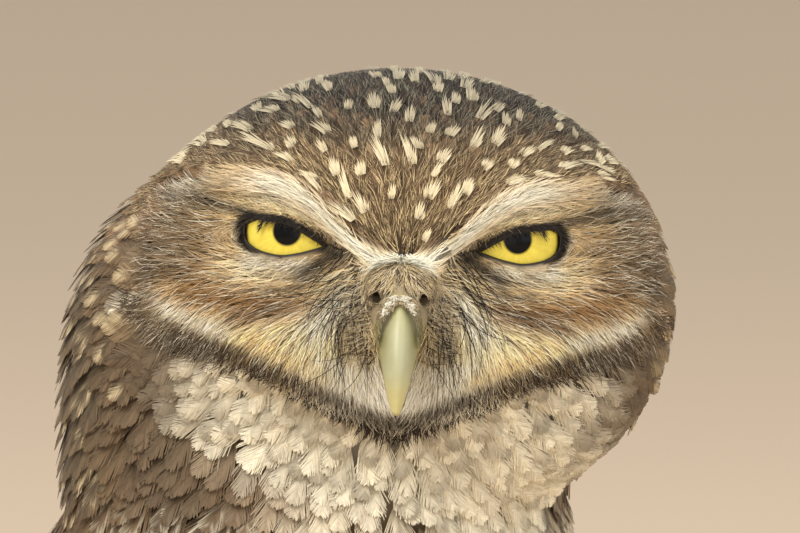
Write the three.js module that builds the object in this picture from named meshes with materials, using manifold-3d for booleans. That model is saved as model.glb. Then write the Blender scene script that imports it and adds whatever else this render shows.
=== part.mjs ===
// Adult burrowing owl, life size, standing with its neck drawn in and its head turned to its right.
// Millimetres, +Z up. The body faces -Y, its left side is +X, and it stands on the plane z = 0.
import * as THREE from "three";
import { mergeVertices } from "three/addons/utils/BufferGeometryUtils.js";
import Module from "manifold-3d";

const wasm = await Module();
wasm.setup();

// Driving dimensions
const GAP = 0.3; // clearance between neighbouring pieces
const SLIVER = 0.01; // details finer than this are left out
const WELD = 0.001; // corners closer than this are one
const DEGREE = Math.PI / 180;
const LEFT = 1;
const RIGHT = -1;

// Head: an ellipsoid in its own frame, which looks along -Y, with its relief added below.
const HEAD = { centre: [0, -20, 187], yaw: -40, pitch: -4, roll: 2.1 };
const HEAD_HALF = { side: 29.7, front: 23.5, back: 26, up: 24.9 };
const EYE = { x: 10.9, y: -13.2, z: 6.8, radius: 6.6 };
const LID_THICKNESS = 0.9;
const LID_BACK_Y = -14.6; // the lids end here, inside the socket
// The opening between the lids, seen from the front, from the inner corner over the top.
const LID_OPENING = [
  [8.4, 5.5], [9.6, 6.2], [10.8, 6.9], [12.2, 7.6], [13.9, 7.95], [15.4, 8.1], [16.5, 8.1],
  [16.9, 7.2], [16.7, 5.9], [15.6, 5.0], [14.2, 4.55], [12.75, 4.4], [11.0, 4.7], [9.6, 5.1],
];
const INNER_CORNER = [8.4, 5.5];
const OUTER_CORNER = [16.9, 7.2];

// Bill stations from the root to the tip: culmen y, z, cutting edge y, z, half width.
const UPPER_BILL = [
  [-22.0, 3.0, -22.0, -4.2, 3.2], [-26.0, 2.4, -25.5, -4.6, 3.1], [-29.4, 0.8, -27.8, -5.2, 2.75],
  [-32.0, -2.3, -29.0, -6.2, 2.35], [-33.3, -5.6, -30.2, -7.8, 1.8], [-33.5, -8.9, -31.2, -9.8, 1.25],
  [-32.9, -12.2, -32.0, -11.9, 0.45],
];
const LOWER_BILL = [
  [-22.0, -3.4, -22.0, -7.4, 2.9], [-26.0, -3.6, -25.6, -7.9, 2.5], [-29.2, -4.6, -28.0, -8.4, 1.9],
  [-30.8, -7.2, -30.0, -9.1, 0.8],
];
const CERE = { at: [0, -25.2, 1.3], half: [3.9, 4.2, 3.5] };
const NOSTRIL = { x: 2.5, y: -27.4, z: 0.5, radius: 0.65, depth: 2.4, outward: 24 };

// Body: ellipsoids that melt into each other. A lean tips the top of one towards -Y, in degrees.
const BODY_LUMPS = [
  { at: [0, 11, 116], half: [31, 30, 52], lean: 27 }, // torso
  { at: [0, -8, 139], half: [29.5, 25, 34], lean: 18 }, // breast
  { at: [0, -5, 165], half: [28, 26, 25], lean: 0 }, // shoulders and throat
  { at: [0, -1.3, 182], half: [26, 22, 22], lean: 0 }, // nape
];
const BODY_BLEND = 9;
const RUMP_BLEND = 22;
const BODY_CORE = [0, 4, 128]; // every ray from here leaves the body once
const RUMP = { at: [0, 40, 74], half: [26, 16, 60], lean: 40 }; // what the folded wings wrap behind the torso
const NECK_CUT = { at: [0, -8, 158], lean: 14 };

// Legs. The x of each is for the left leg.
const THIGH = { at: [15, 6, 77], half: [11.5, 15, 26], lean: 12 };
const FOOT = { x: 17, y: 6 };
const HEEL = { y: 13, z: 50 };
const TARSUS_RADII = [3.0, 2.4, 2.3, 2.6, 3.3];
// Toes: heading in degrees from forwards, positive outwards, length, and radii at root and tip.
const TOES = [
  { name: "inner", heading: -20, length: 18, root: 2.6, tip: 2.0 },
  { name: "middle", heading: 9, length: 21, root: 2.7, tip: 2.0 },
  { name: "outer", heading: 82, length: 18, root: 2.5, tip: 1.9 },
  { name: "hind", heading: 166, length: 12, root: 2.4, tip: 1.9 },
];
const FLAT_DEPTH = 0.45; // how much of each toe's underside is flattened where it stands
const CLAW = { reach: 8.4, arch: 1.7, radius: 1.25, tip: 0.18 };

// Folded wing: it is laid out by t along the back from shoulder to tip, and by the angle from the
// middle of the back, and each level is a height over the body.
const WING_AXIS = [[0, -6, 163], [0, 16, 96], [0, 72, 40]];
const WING_CORE = { top: 0.09, bottom: 0.58, low: 0.65, high: 3.2 };
const WING_EDGE = 1.5; // the core's edges stand this high over the body
const WING_LANES = 6;
const LEAST_ANGLE = 4; // keeps the two wings apart over the back
const FEATHER_THICKNESS = 0.55;
const FEATHER_RISE = 1; // height from one feather to the next

// Tail
const TAIL = { root: [0, 34, 86], down: 50, length: 69, core: 34 };
const TAIL_PAIRS = 6;
const TAIL_STEP = 1; // height from one feather to the next

// Vector and distance helpers

const vec = (p) => new THREE.Vector3(...p);
const lerp = THREE.MathUtils.lerp;
const smooth = THREE.MathUtils.smoothstep;
const bell = (x, width) => Math.exp(-(x * x) / (width * width));

// Signed distance, near enough, from p to an ellipsoid that may lean forwards.
function lumpDistance(p, lump) {
  const c = Math.cos(lump.lean * DEGREE);
  const s = Math.sin(lump.lean * DEGREE);
  const x = p.x - lump.at[0];
  const y = p.y - lump.at[1];
  const z = p.z - lump.at[2];
  const q = [x, y * c + z * s, z * c - y * s];
  const k0 = Math.hypot(...q.map((v, i) => v / lump.half[i]));
  const k1 = Math.hypot(...q.map((v, i) => v / lump.half[i] ** 2));
  return k1 > 0 ? (k0 * (k0 - 1)) / k1 : -Math.min(...lump.half);
}

function melt(a, b, blend) {
  const h = Math.max(blend - Math.abs(a - b), 0);
  return Math.min(a, b) - (h * h) / (4 * blend);
}

const bodyDistance = (p) =>
  BODY_LUMPS.map((lump) => lumpDistance(p, lump)).reduce((a, b) => melt(a, b, BODY_BLEND));
const wrapDistance = (p) => melt(bodyDistance(p), lumpDistance(p, RUMP), RUMP_BLEND);

// How far along a ray from origin the distance field reaches a level, by bisection.
function march(origin, direction, field, level, longest) {
  let near = 0;
  let far = longest;
  const p = new THREE.Vector3();
  for (let i = 0; i < 22; i++) {
    const middle = (near + far) / 2;
    if (field(p.copy(origin).addScaledVector(direction, middle)) < level) near = middle;
    else far = middle;
  }
  return near;
}

// Solids: geometry in, closed manifold out, and back

function solidOf(geometry) {
  const g = geometry.index ? geometry.toNonIndexed() : geometry.clone();
  for (const name of Object.keys(g.attributes)) if (name !== "position") g.deleteAttribute(name);
  const merged = mergeVertices(g, WELD);
  return new wasm.Manifold(
    new wasm.Mesh({
      numProp: 3,
      vertProperties: new Float32Array(merged.attributes.position.array),
      triVerts: new Uint32Array(merged.index.array),
    }),
  );
}

// The largest closed surface of a solid, its slivers taken out.
function largestOf(solid) {
  return solid
    .simplify(SLIVER)
    .decompose()
    .sort((a, b) => b.volume() - a.volume())[0];
}

function geometryOf(solid) {
  const mesh = solid.getMesh();
  return new THREE.BufferGeometry()
    .setAttribute("position", new THREE.BufferAttribute(new Float32Array(mesh.vertProperties), 3))
    .setIndex(new THREE.BufferAttribute(new Uint32Array(mesh.triVerts), 1));
}

// The largest closed surface once its corners are welded, which can part it again.
function wholeGeometry(solid) {
  let whole = largestOf(solid);
  for (let i = 0; i < 6; i++) {
    const welded = solidOf(geometryOf(whole));
    if (welded.decompose().length === 1) return geometryOf(welded);
    whole = largestOf(welded);
  }
  return geometryOf(whole);
}

const union = (solids) => wasm.Manifold.union(solids);

// A closed body round a centre, its radius given for each direction. The poles are on the Y axis.
function roundBody(radiusOf, centre, around, rings, frontCrowding = 1) {
  const g = new THREE.SphereGeometry(1, around, rings);
  const at = g.attributes.position;
  const d = new THREE.Vector3();
  for (let i = 0; i < at.count; i++) {
    d.fromBufferAttribute(at, i);
    const t = Math.acos(THREE.MathUtils.clamp(d.y, -1, 1)) / Math.PI;
    const polar = Math.PI * (1 - (1 - t) ** frontCrowding);
    const flat = Math.hypot(d.x, d.z);
    if (flat > 1e-6) d.set((d.x / flat) * Math.sin(polar), Math.cos(polar), (d.z / flat) * Math.sin(polar));
    else d.set(0, Math.sign(d.y), 0);
    d.multiplyScalar(radiusOf(d)).add(centre);
    at.setXYZ(i, d.x, d.y, d.z);
  }
  return solidOf(g);
}

// A closed tube of rings, each ring a list of points in the same turning sense. The ends are closed
// by strips from side to side, so a ring may be a thin arc.
function loft(rings) {
  const n = rings[0].length;
  const points = rings.flat();
  const index = [];
  for (let r = 0; r + 1 < rings.length; r++)
    for (let i = 0; i < n; i++) {
      const a = r * n + i;
      const b = r * n + ((i + 1) % n);
      index.push(a, b, b + n, a, b + n, a + n);
    }
  const last = (rings.length - 1) * n;
  const cap = (a, b, c) => index.push(a, c, b, last + a, last + b, last + c);
  for (let i = 0, j = n - 1; i + 1 < j; i++, j--) {
    cap(i, i + 1, j);
    if (i + 1 < j - 1) cap(i + 1, j - 1, j);
  }
  const g = new THREE.BufferGeometry().setFromPoints(points).setIndex(index);
  const made = solidOf(g);
  if (made.volume() > 0) return made;
  for (let i = 0; i < index.length; i += 3) [index[i + 1], index[i + 2]] = [index[i + 2], index[i + 1]];
  return solidOf(g.setIndex(index));
}

// A round tube along a smooth path in one upright plane, its radius given at even steps. across is
// level and square to that plane.
function limb(points, across, radii, sides, steps, grow = 0) {
  const path = new THREE.CatmullRomCurve3(points);
  const rings = [];
  for (let i = 0; i <= steps; i++) {
    const t = i / steps;
    const place = t * (radii.length - 1);
    const k = Math.min(Math.floor(place), radii.length - 2);
    const radius = lerp(radii[k], radii[k + 1], place - k) + grow;
    const along = path.getTangent(t);
    const over = new THREE.Vector3().crossVectors(along, across);
    const centre = path.getPoint(t);
    rings.push(
      Array.from({ length: sides }, (_, j) => {
        const a = (2 * Math.PI * j) / sides;
        return centre
          .clone()
          .addScaledVector(across, radius * Math.cos(a))
          .addScaledVector(over, radius * Math.sin(a));
      }),
    );
  }
  return loft(rings);
}

function boxSolid(size, at, turn = [0, 0, 0]) {
  const g = new THREE.BoxGeometry(...size);
  g.rotateX(turn[0] * DEGREE).rotateY(turn[1] * DEGREE).rotateZ(turn[2] * DEGREE).translate(...at);
  return solidOf(g);
}

// A feather vane: a thin plate of tapering width, bent a little along its middle. place(s, c, level)
// gives a point, with s from root to tip and c from -1 to 1 across. Both faces have like triangles.
const VANE_STATIONS = [0, 0.34, 0.7, 0.92, 1];
const VANE_WIDTHS = [0.6, 0.95, 1, 0.72, 0.16];

function vane(place, flat = false) {
  const half = FEATHER_THICKNESS / 2;
  return loft(
    VANE_STATIONS.map((s, i) => {
      const across = (flat ? [-1, 1] : [-1, 0, 1]).map((c) => c * VANE_WIDTHS[i]);
      const under = across.map((c) => place(s, c, -half));
      const over = across.map((c) => place(s, c, half));
      return [...under, ...over.reverse()];
    }),
  );
}

// Head, in its own frame

// The brow ridge's height, seen from the front, at a distance from the middle.
const browHeight = (x) => 13 - 11 * Math.exp(-((x / 7.4) ** 1.6));
// The lower rim of the face.
const rimHeight = (x) => -12.8 + 0.022 * x * x;

function headRadius(d) {
  const depth = d.y < 0 ? HEAD_HALF.front : HEAD_HALF.back;
  const base = 1 / Math.hypot(d.x / HEAD_HALF.side, d.y / depth, d.z / HEAD_HALF.up);
  const x = Math.abs(d.x * base);
  const z = d.z * base;
  const front = smooth(-d.y, 0.1, 0.55);
  const hollow = -3.4 * Math.exp(-(((x - 14) / 8) ** 2) - ((z - 4.5) / 6.5) ** 2);
  const brow = 2.4 * bell(z - browHeight(x), 2.3) * smooth(x, 1, 5) * (1 - smooth(x, 18, 25));
  const bridge = 2.0 * Math.exp(-((x / 3.6) ** 2) - ((z - 1) / 5.5) ** 2);
  const cheek = 1.3 * Math.exp(-(((x - 12) / 8) ** 2) - ((z + 6) / 4) ** 2);
  const below = rimHeight(x) - z;
  const groove = -2.4 * smooth(below, -1, 4) * (1 - smooth(below, 5, 13)) * (1 - smooth(x, 16, 26));
  return base + front * (hollow + brow + bridge + cheek + groove);
}

const headCentre = new THREE.Vector3();
const headBody = (grow) => roundBody((d) => headRadius(d) + grow, headCentre, 36, 24, 1.25);

function billSolid(stations, grow) {
  const sides = 10;
  const rings = stations.map(([topY, topZ, lowY, lowZ, half]) => {
    const middle = new THREE.Vector3(0, (topY + lowY) / 2, (topZ + lowZ) / 2);
    const up = new THREE.Vector3(0, topY - lowY, topZ - lowZ);
    const high = up.length() / 2 + grow;
    up.normalize();
    return Array.from({ length: sides }, (_, j) => {
      const a = (2 * Math.PI * j) / sides;
      return middle
        .clone()
        .addScaledVector(up, high * Math.cos(a))
        .setX((half + grow) * Math.sin(a));
    });
  });
  return loft(rings);
}

function ball(radius, at, around = 16, rings = 10) {
  return solidOf(new THREE.SphereGeometry(radius, around, rings).translate(...at));
}

const eyeCentre = (side) => [side * EYE.x, EYE.y, EYE.z];

// The almond opening between the lids, as a prism along the view.
function lidOpening(side) {
  const points = LID_OPENING.map(([x, z]) => new THREE.Vector2(side * x, z));
  const length = 20;
  const g = new THREE.ExtrudeGeometry(new THREE.Shape(points), { depth: length, bevelEnabled: false });
  return solidOf(g.rotateX(Math.PI / 2).translate(0, EYE.y, 0));
}

// Upper and lower lid of one eye, parted through both corners.
function lidSolids(side) {
  const inner = ball(EYE.radius + GAP, eyeCentre(side));
  const outer = ball(EYE.radius + GAP + LID_THICKNESS, eyeCentre(side));
  const behind = boxSolid([30, 20, 30], [side * EYE.x, LID_BACK_Y + 10, EYE.z]);
  const dx = OUTER_CORNER[0] - INNER_CORNER[0];
  const dz = OUTER_CORNER[1] - INNER_CORNER[1];
  const slope = Math.atan2(dz, dx) / DEGREE;
  const middle = [side * (INNER_CORNER[0] + dx / 2), EYE.y, INNER_CORNER[1] + dz / 2];
  const slit = boxSolid([40, 40, GAP], middle, [0, -side * slope, 0]);
  const parts = outer
    .subtract(inner)
    .subtract(lidOpening(side))
    .subtract(behind)
    .subtract(slit)
    .decompose()
    .sort((a, b) => b.volume() - a.volume())
    .slice(0, 2);
  const heightOf = (s) => s.boundingBox().max[2];
  parts.sort((a, b) => heightOf(b) - heightOf(a));
  return { upper: parts[0], lower: parts[1] };
}

function cereSolid() {
  const lump = solidOf(
    new THREE.SphereGeometry(1, 14, 8).scale(...CERE.half).translate(...CERE.at),
  );
  const nostrils = [LEFT, RIGHT].map((side) =>
    solidOf(
      new THREE.CylinderGeometry(NOSTRIL.radius, NOSTRIL.radius, NOSTRIL.depth * 2, 6)
        .rotateZ(side * NOSTRIL.outward * DEGREE)
        .translate(side * NOSTRIL.x, NOSTRIL.y - NOSTRIL.depth / 2, NOSTRIL.z),
    ),
  );
  return lump.subtract(union(nostrils));
}

// Body, wings, tail and legs, in the part's frame

function bodyBody(grow) {
  const radiusOf = (d) => march(vec(BODY_CORE), d, bodyDistance, grow, 130);
  return roundBody(radiusOf, vec(BODY_CORE), 30, 20);
}

function thighBody(side, grow) {
  const lump = { ...THIGH, at: [side * THIGH.at[0], THIGH.at[1], THIGH.at[2]] };
  const radiusOf = (d) => march(vec(lump.at), d, (p) => lumpDistance(p, lump), grow, 60);
  return roundBody(radiusOf, vec(lump.at), 14, 10);
}

// A point of the folded wing: t along the back, angle in degrees from its middle, level over it.
const wingAxis = new THREE.QuadraticBezierCurve3(...WING_AXIS.map(vec));

function wingRay(side, t, angle) {
  const along = wingAxis.getTangent(t);
  const a = angle * DEGREE;
  return new THREE.Vector3(side * Math.sin(a), -along.z * Math.cos(a), along.y * Math.cos(a));
}

function wingPoint(side, t, angle, level) {
  const origin = wingAxis.getPoint(t);
  const ray = wingRay(side, t, angle);
  return origin.addScaledVector(ray, march(origin, ray, wrapDistance, level, 90));
}

// The wing's outline: the angles of its dorsal and ventral edges along the axis.
const dorsalEdge = (t) => lerp(34, 14, smooth(t, 0, 0.35));
const ventralEdge = (t) => lerp(92, 112, smooth(t, 0, 0.2)) - 44 * smooth(t, 0.25, 0.95);

// A plate over a stretch of the wing, lower at its edges.
function wingPlate(side, top, bottom, low, high) {
  const steps = 8;
  const columns = 6;
  const rings = [];
  for (let i = 0; i <= steps; i++) {
    const t = lerp(top, bottom, i / steps);
    const swell = Math.sin(Math.PI * lerp(0.03, 0.95, i / steps)) ** 0.5;
    const ring = [];
    for (let j = 0; j <= columns; j++) {
      const share = j / columns;
      const rise = swell * Math.sin(Math.PI * lerp(0.1, 0.9, share)) ** 0.6;
      const angle = lerp(dorsalEdge(t), ventralEdge(t), share);
      ring.push(wingPoint(side, t, angle, lerp(WING_EDGE, high, rise)));
    }
    for (let j = columns; j >= 0; j--)
      ring.push(wingPoint(side, t, lerp(dorsalEdge(t), ventralEdge(t), j / columns), low));
    rings.push(ring);
  }
  return loft(rings);
}

// Lanes run down the wing from shoulder to tip, lane 0 along its ventral edge. Every row of feathers
// lies along them, so that no feather crosses its neighbours.
const LANE_MARGIN = 6;
const firstAngle = (t) => ventralEdge(t) - LANE_MARGIN;
const laneStep = (t) => (firstAngle(t) - dorsalEdge(t) - LANE_MARGIN) / (WING_LANES - 1);
const laneAngle = (lane, t) => firstAngle(t) - lane * laneStep(t);
const lastLane = (t) => (firstAngle(t) - LEAST_ANGLE) / laneStep(t);

// Millimetres from one lane to the next.
function lanePitch(side, t) {
  const a = wingPoint(side, t, laneAngle(0, t), 0);
  const b = wingPoint(side, t, laneAngle(WING_LANES - 1, t), 0);
  return (1.1 * a.distanceTo(b)) / (WING_LANES - 1);
}

// One wing feather. Each lies over its ventral neighbour, with its ventral edge raised.
function wingFeather(side, row, index) {
  const lane = row.lane + index * row.pitch;
  const share = row.count > 1 ? index / (row.count - 1) : 0;
  const root = lerp(row.root[0], row.root[1], share);
  const tip = lerp(row.tip[0], row.tip[1], share);
  return vane((s, c, level) => {
    const t = lerp(root, tip, s);
    const half = row.half / lanePitch(side, t);
    const out = c > 0 ? -c * half : -c * Math.min(half, lastLane(t) - lane);
    const rise = lerp(row.level[0], row.level[1], s) - (FEATHER_RISE * out) / row.pitch;
    return wingPoint(side, t, laneAngle(lane + out, t), rise + level);
  });
}

// Rows of wing feathers. Root and tip are places along the wing, for the ventral and the dorsal end
// of the row; level is the height at root and tip; half is half a feather's width.
const WING_ROWS = [
  { count: 5, lane: -0.2, pitch: 0.55, root: [0.5, 0.5], tip: [1, 0.9], level: [1.9, 1.6], half: 4.6 },
  { count: 6, lane: 0, pitch: 1, root: [0.5, 0.47], tip: [0.86, 0.7], level: [2.2, 6.4], half: 6.8 },
  { count: 6, lane: 0, pitch: 1, root: [0.34, 0.32], tip: [0.6, 0.54], level: [1.8, 6.0], half: 7.2 },
  { count: 6, lane: 0, pitch: 1, root: [0.18, 0.17], tip: [0.42, 0.38], level: [1.8, 5.6], half: 7.2 },
  { count: 4, lane: 2, pitch: 1, root: [0.1, 0.1], tip: [0.27, 0.3], level: [1.6, 5.6], half: 7.4 },
];

function featheredWing(side) {
  const { top, bottom, low, high } = WING_CORE;
  const feathers = WING_ROWS.flatMap((row) =>
    Array.from({ length: row.count }, (_, index) => wingFeather(side, row, index)),
  );
  return union([wingPlate(side, top, bottom, low, high), ...feathers]);
}

// Tail feathers lie fanned on a plane through the tail's root, the middle pair on top.
function tailPoint(along, across, level) {
  const down = TAIL.down * DEGREE;
  const droop = 0.006 * across * across;
  return new THREE.Vector3(across, 0, 0)
    .add(vec(TAIL.root))
    .addScaledVector(new THREE.Vector3(0, Math.cos(down), -Math.sin(down)), along)
    .addScaledVector(new THREE.Vector3(0, Math.sin(down), Math.cos(down)), level - droop);
}

function tailFeather(side, pair) {
  const length = TAIL.length - 0.35 * pair * pair;
  const half = 6.4;
  const height = pair === 0 && side === LEFT ? 2 * TAIL_STEP : TAIL_STEP * (1 - pair);
  return vane((s, c, level) => {
    const centre = side * (lerp(0.8, 1.6, s) + pair * lerp(0.7, 2.5, s));
    const across = centre + c * half * lerp(0.7, 1, s);
    const inner = pair === 0 ? -half : GAP / 2;
    const kept = side * Math.max(side * across, inner);
    return tailPoint(lerp(2, length, s), kept, height + level);
  }, true);
}

function tailCore() {
  const rings = [0, 0.25, 0.5, 0.75, 1].map((s) => {
    const half = lerp(10, 7.5, s) * (1 - 0.5 * s ** 4);
    const high = lerp(8, 3.2, s) * (1 - 0.5 * s ** 4);
    return Array.from({ length: 14 }, (_, j) => {
      const a = (2 * Math.PI * j) / 14;
      return tailPoint(lerp(-10, TAIL.core, s), half * Math.cos(a), high * Math.sin(a) - 1);
    });
  });
  return loft(rings);
}

// The whole space that the tail fills, grown a little, to keep its neighbours clear.
function tailRoom() {
  const rings = [0, 0.35, 0.7, 1].map((s) => {
    const half = lerp(11, 21, Math.min(1, 1.3 * s));
    const columns = [-1, -0.5, 0, 0.5, 1];
    const along = lerp(-10, TAIL.length + 2, s);
    const top = lerp(6.6, 2.8, Math.min(1, 2 * s));
    const low = lerp(-8.6, -4.4, Math.min(1, 2 * s));
    return [
      ...columns.map((c) => tailPoint(along, c * half, low)),
      ...columns.reverse().map((c) => tailPoint(along, c * half, top)),
    ];
  });
  return loft(rings);
}

function featheredTail() {
  const feathers = [LEFT, RIGHT].flatMap((side) =>
    Array.from({ length: TAIL_PAIRS }, (_, pair) => tailFeather(side, pair)),
  );
  return union([tailCore(), ...feathers]);
}

function tarsusSolid(side, grow) {
  const x = side * FOOT.x;
  const points = [
    new THREE.Vector3(x, FOOT.y, 4.4),
    new THREE.Vector3(x, lerp(FOOT.y, HEEL.y, 0.45), lerp(4, HEEL.z, 0.5)),
    new THREE.Vector3(x, HEEL.y, HEEL.z),
    new THREE.Vector3(x, HEEL.y - 2, HEEL.z + 6),
  ];
  return limb(points, new THREE.Vector3(1, 0, 0), TARSUS_RADII, 8, 5, grow);
}

const toeWay = (side, toe) => {
  const a = toe.heading * DEGREE;
  return new THREE.Vector3(side * Math.sin(a), -Math.cos(a), 0);
};

const crossways = (way) => new THREE.Vector3(-way.y, way.x, 0);

const footPoint = (side, way, out, z) =>
  new THREE.Vector3(side * FOOT.x, FOOT.y, z).addScaledVector(way, out);

function toeSolid(side, toe) {
  const way = toeWay(side, toe);
  const bump = (s, r) => footPoint(side, way, s * toe.length, r - FLAT_DEPTH);
  const points = [
    footPoint(side, way, 0, 4.6),
    bump(0.3, toe.root),
    bump(0.65, toe.tip),
    bump(1, toe.tip),
  ];
  const radii = [3.0, toe.root, toe.tip * 0.92, toe.tip * 1.06, toe.tip * 0.85];
  return limb(points, crossways(way), radii, 6, 6);
}

function footSolid(side) {
  const below = boxSolid([120, 120, 20], [0, 0, -10]);
  return union(TOES.map((toe) => toeSolid(side, toe))).subtract(below);
}

function clawSolid(side, toe) {
  const way = toeWay(side, toe);
  const start = toe.length + 2 * GAP;
  const z = toe.tip - FLAT_DEPTH;
  const points = [
    footPoint(side, way, start, z + 0.3),
    footPoint(side, way, start + CLAW.reach * 0.4, z + CLAW.arch),
    footPoint(side, way, start + CLAW.reach * 0.8, z + CLAW.arch * 0.5),
    footPoint(side, way, start + CLAW.reach, CLAW.tip + 0.25),
  ];
  const { radius, tip } = CLAW;
  return limb(points, crossways(way), [radius, radius * 0.85, radius * 0.5, tip], 6, 4);
}

// Assembly

const COLOURS = {
  brown: 0x8a6a48, pale: 0xcdb58c, cream: 0xe2d3ad, flight: 0x75593c, iris: 0xf0dc3c, lid: 0x3a332a,
  bill: 0xc9c48c, cere: 0x8e8a6a, skin: 0x9a9078, claw: 0x2c2825,
};

function meshOf(name, solid, colour, roughness = 0.85) {
  const material = new THREE.MeshStandardMaterial({ color: colour, roughness, metalness: 0 });
  const mesh = new THREE.Mesh(wholeGeometry(solid), material);
  mesh.name = name;
  return mesh;
}

const headGroup = new THREE.Group();
headGroup.position.set(...HEAD.centre);
headGroup.rotation.set(HEAD.pitch * DEGREE, HEAD.roll * DEGREE, HEAD.yaw * DEGREE, "ZXY");
headGroup.updateMatrix();

function buildHead() {
  const sockets = union(
    [LEFT, RIGHT].map((side) => ball(EYE.radius + LID_THICKNESS + 2 * GAP, eyeCentre(side))),
  );
  const upper = billSolid(UPPER_BILL, 0);
  const upperRoom = billSolid(UPPER_BILL, GAP);
  const lower = billSolid(LOWER_BILL, 0).subtract(upperRoom);
  const lowerRoom = billSolid(LOWER_BILL, GAP);
  const cereRoom = solidOf(
    new THREE.SphereGeometry(1, 14, 8)
      .scale(...CERE.half.map((h) => h + GAP))
      .translate(...CERE.at),
  );
  const cere = cereSolid().subtract(upperRoom).subtract(boxSolid([12, 6, 12], [0, -20.5, 1.3]));
  const head = headBody(0).subtract(union([sockets, upperRoom, lowerRoom, cereRoom]));
  headGroup.add(meshOf("head", head, COLOURS.brown));
  headGroup.add(meshOf("bill_upper", upper, COLOURS.bill, 0.45));
  headGroup.add(meshOf("bill_lower", lower, COLOURS.bill, 0.45));
  headGroup.add(meshOf("cere", cere, COLOURS.cere, 0.6));
  for (const [name, side] of [["left", LEFT], ["right", RIGHT]]) {
    const eye = ball(EYE.radius, eyeCentre(side));
    const lids = lidSolids(side);
    headGroup.add(meshOf("eye_" + name, eye, COLOURS.iris, 0.1));
    headGroup.add(meshOf("lid_upper_" + name, lids.upper, COLOURS.lid));
    headGroup.add(meshOf("lid_lower_" + name, lids.lower, COLOURS.lid));
  }
}

function buildBody(group) {
  const headRoom = headBody(GAP).transform(headGroup.matrix.toArray());
  const body = bodyBody(0);
  const bodyRoom = bodyBody(GAP);
  const above = boxSolid([120, 120, 80], [0, 0, 40], [NECK_CUT.lean, 0, 0]).translate(NECK_CUT.at);
  const aboveRoom = above.translate([0, 0, -GAP]);
  group.add(meshOf("torso", body.subtract(aboveRoom).subtract(headRoom), COLOURS.pale));
  group.add(meshOf("neck", body.intersect(above).subtract(headRoom), COLOURS.brown));

  const room = tailRoom();
  group.add(meshOf("tail", featheredTail().subtract(bodyRoom), COLOURS.flight));

  for (const [name, side] of [["left", LEFT], ["right", RIGHT]]) {
    const wingRoom = wingPlate(side, 0.02, 0.96, -2, 9);
    const tarsusRoom = tarsusSolid(side, GAP);
    const thigh = thighBody(side, 0).subtract(union([bodyRoom, wingRoom, tarsusRoom, room]));
    const foot = footSolid(side);
    const footRoom = union(TOES.map((toe) => toeSolid(side, toe))).scale([1, 1, 1]);
    group.add(meshOf("wing_" + name, featheredWing(side), COLOURS.flight));
    group.add(meshOf("thigh_" + name, thigh, COLOURS.cream));
    group.add(meshOf("tarsus_" + name, tarsusSolid(side, 0).subtract(footRoom), COLOURS.cream));
    group.add(meshOf("foot_" + name, foot, COLOURS.skin));
    for (const toe of TOES) {
      const claw = clawSolid(side, toe);
      group.add(meshOf("claw_" + toe.name + "_" + name, claw, COLOURS.claw, 0.4));
    }
  }
}

const owl = new THREE.Group();
buildHead();
owl.add(headGroup);
buildBody(owl);

// The origin is below the middle of the whole owl, on the floor.
const room = new THREE.Box3().setFromObject(owl, true);
owl.position.set(-(room.min.x + room.max.x) / 2, -(room.min.y + room.max.y) / 2, -room.min.z);

export default owl;
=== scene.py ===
"""The looks of a life-size adult burrowing owl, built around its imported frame.

Shapes are worked out in millimetres in the frame of the part's source, where the body faces -Y, the
left side is +X and the floor is z = 0, and are moved and scaled when a mesh is made. The head has a
frame of its own, which looks along -Y.
"""

import math
from types import SimpleNamespace

import bpy
import numpy as np
from mathutils import Matrix, Vector
from mathutils.kdtree import KDTree


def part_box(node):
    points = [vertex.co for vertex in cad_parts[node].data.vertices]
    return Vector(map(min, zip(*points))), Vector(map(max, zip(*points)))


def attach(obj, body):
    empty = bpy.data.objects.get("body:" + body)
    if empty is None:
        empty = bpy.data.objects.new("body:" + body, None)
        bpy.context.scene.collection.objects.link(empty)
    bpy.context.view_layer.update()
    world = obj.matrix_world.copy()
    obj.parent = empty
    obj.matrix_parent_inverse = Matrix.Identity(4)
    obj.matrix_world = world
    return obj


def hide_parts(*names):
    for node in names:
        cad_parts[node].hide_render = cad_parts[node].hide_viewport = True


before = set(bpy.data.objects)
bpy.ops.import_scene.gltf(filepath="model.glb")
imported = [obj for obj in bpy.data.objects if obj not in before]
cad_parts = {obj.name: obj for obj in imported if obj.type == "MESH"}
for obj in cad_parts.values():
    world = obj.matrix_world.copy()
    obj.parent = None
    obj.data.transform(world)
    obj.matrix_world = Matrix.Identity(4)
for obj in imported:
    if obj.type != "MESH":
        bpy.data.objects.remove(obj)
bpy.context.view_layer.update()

# Sizes that the part's source also has

HEAD_CENTRE = np.array([0.0, -20.0, 187.0])
HEAD_YAW, HEAD_PITCH, HEAD_ROLL = -40, -4, 2.1
HEAD_SIDE, HEAD_FRONT, HEAD_BACK, HEAD_UP = 29.7, 23.5, 26.0, 24.9
EYE = np.array([10.9, -13.2, 6.8])
EYE_RADIUS = 6.6
LID_OPENING = [
    (8.4, 5.5), (9.6, 6.2), (10.8, 6.9), (12.2, 7.6), (13.9, 7.95), (15.4, 8.1), (16.5, 8.1),
    (16.9, 7.2), (16.7, 5.9), (15.6, 5.0), (14.2, 4.55), (12.75, 4.4), (11.0, 4.7), (9.6, 5.1),
]
UPPER_BILL = [
    (-22.0, 3.0, -22.0, -4.2, 3.2), (-26.0, 2.4, -25.5, -4.6, 3.1), (-29.4, 0.8, -27.8, -5.2, 2.75),
    (-32.0, -2.3, -29.0, -6.2, 2.35), (-33.3, -5.6, -30.2, -7.8, 1.8),
    (-33.5, -8.9, -31.2, -9.8, 1.25), (-32.9, -12.2, -32.0, -11.9, 0.45),
]
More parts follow.
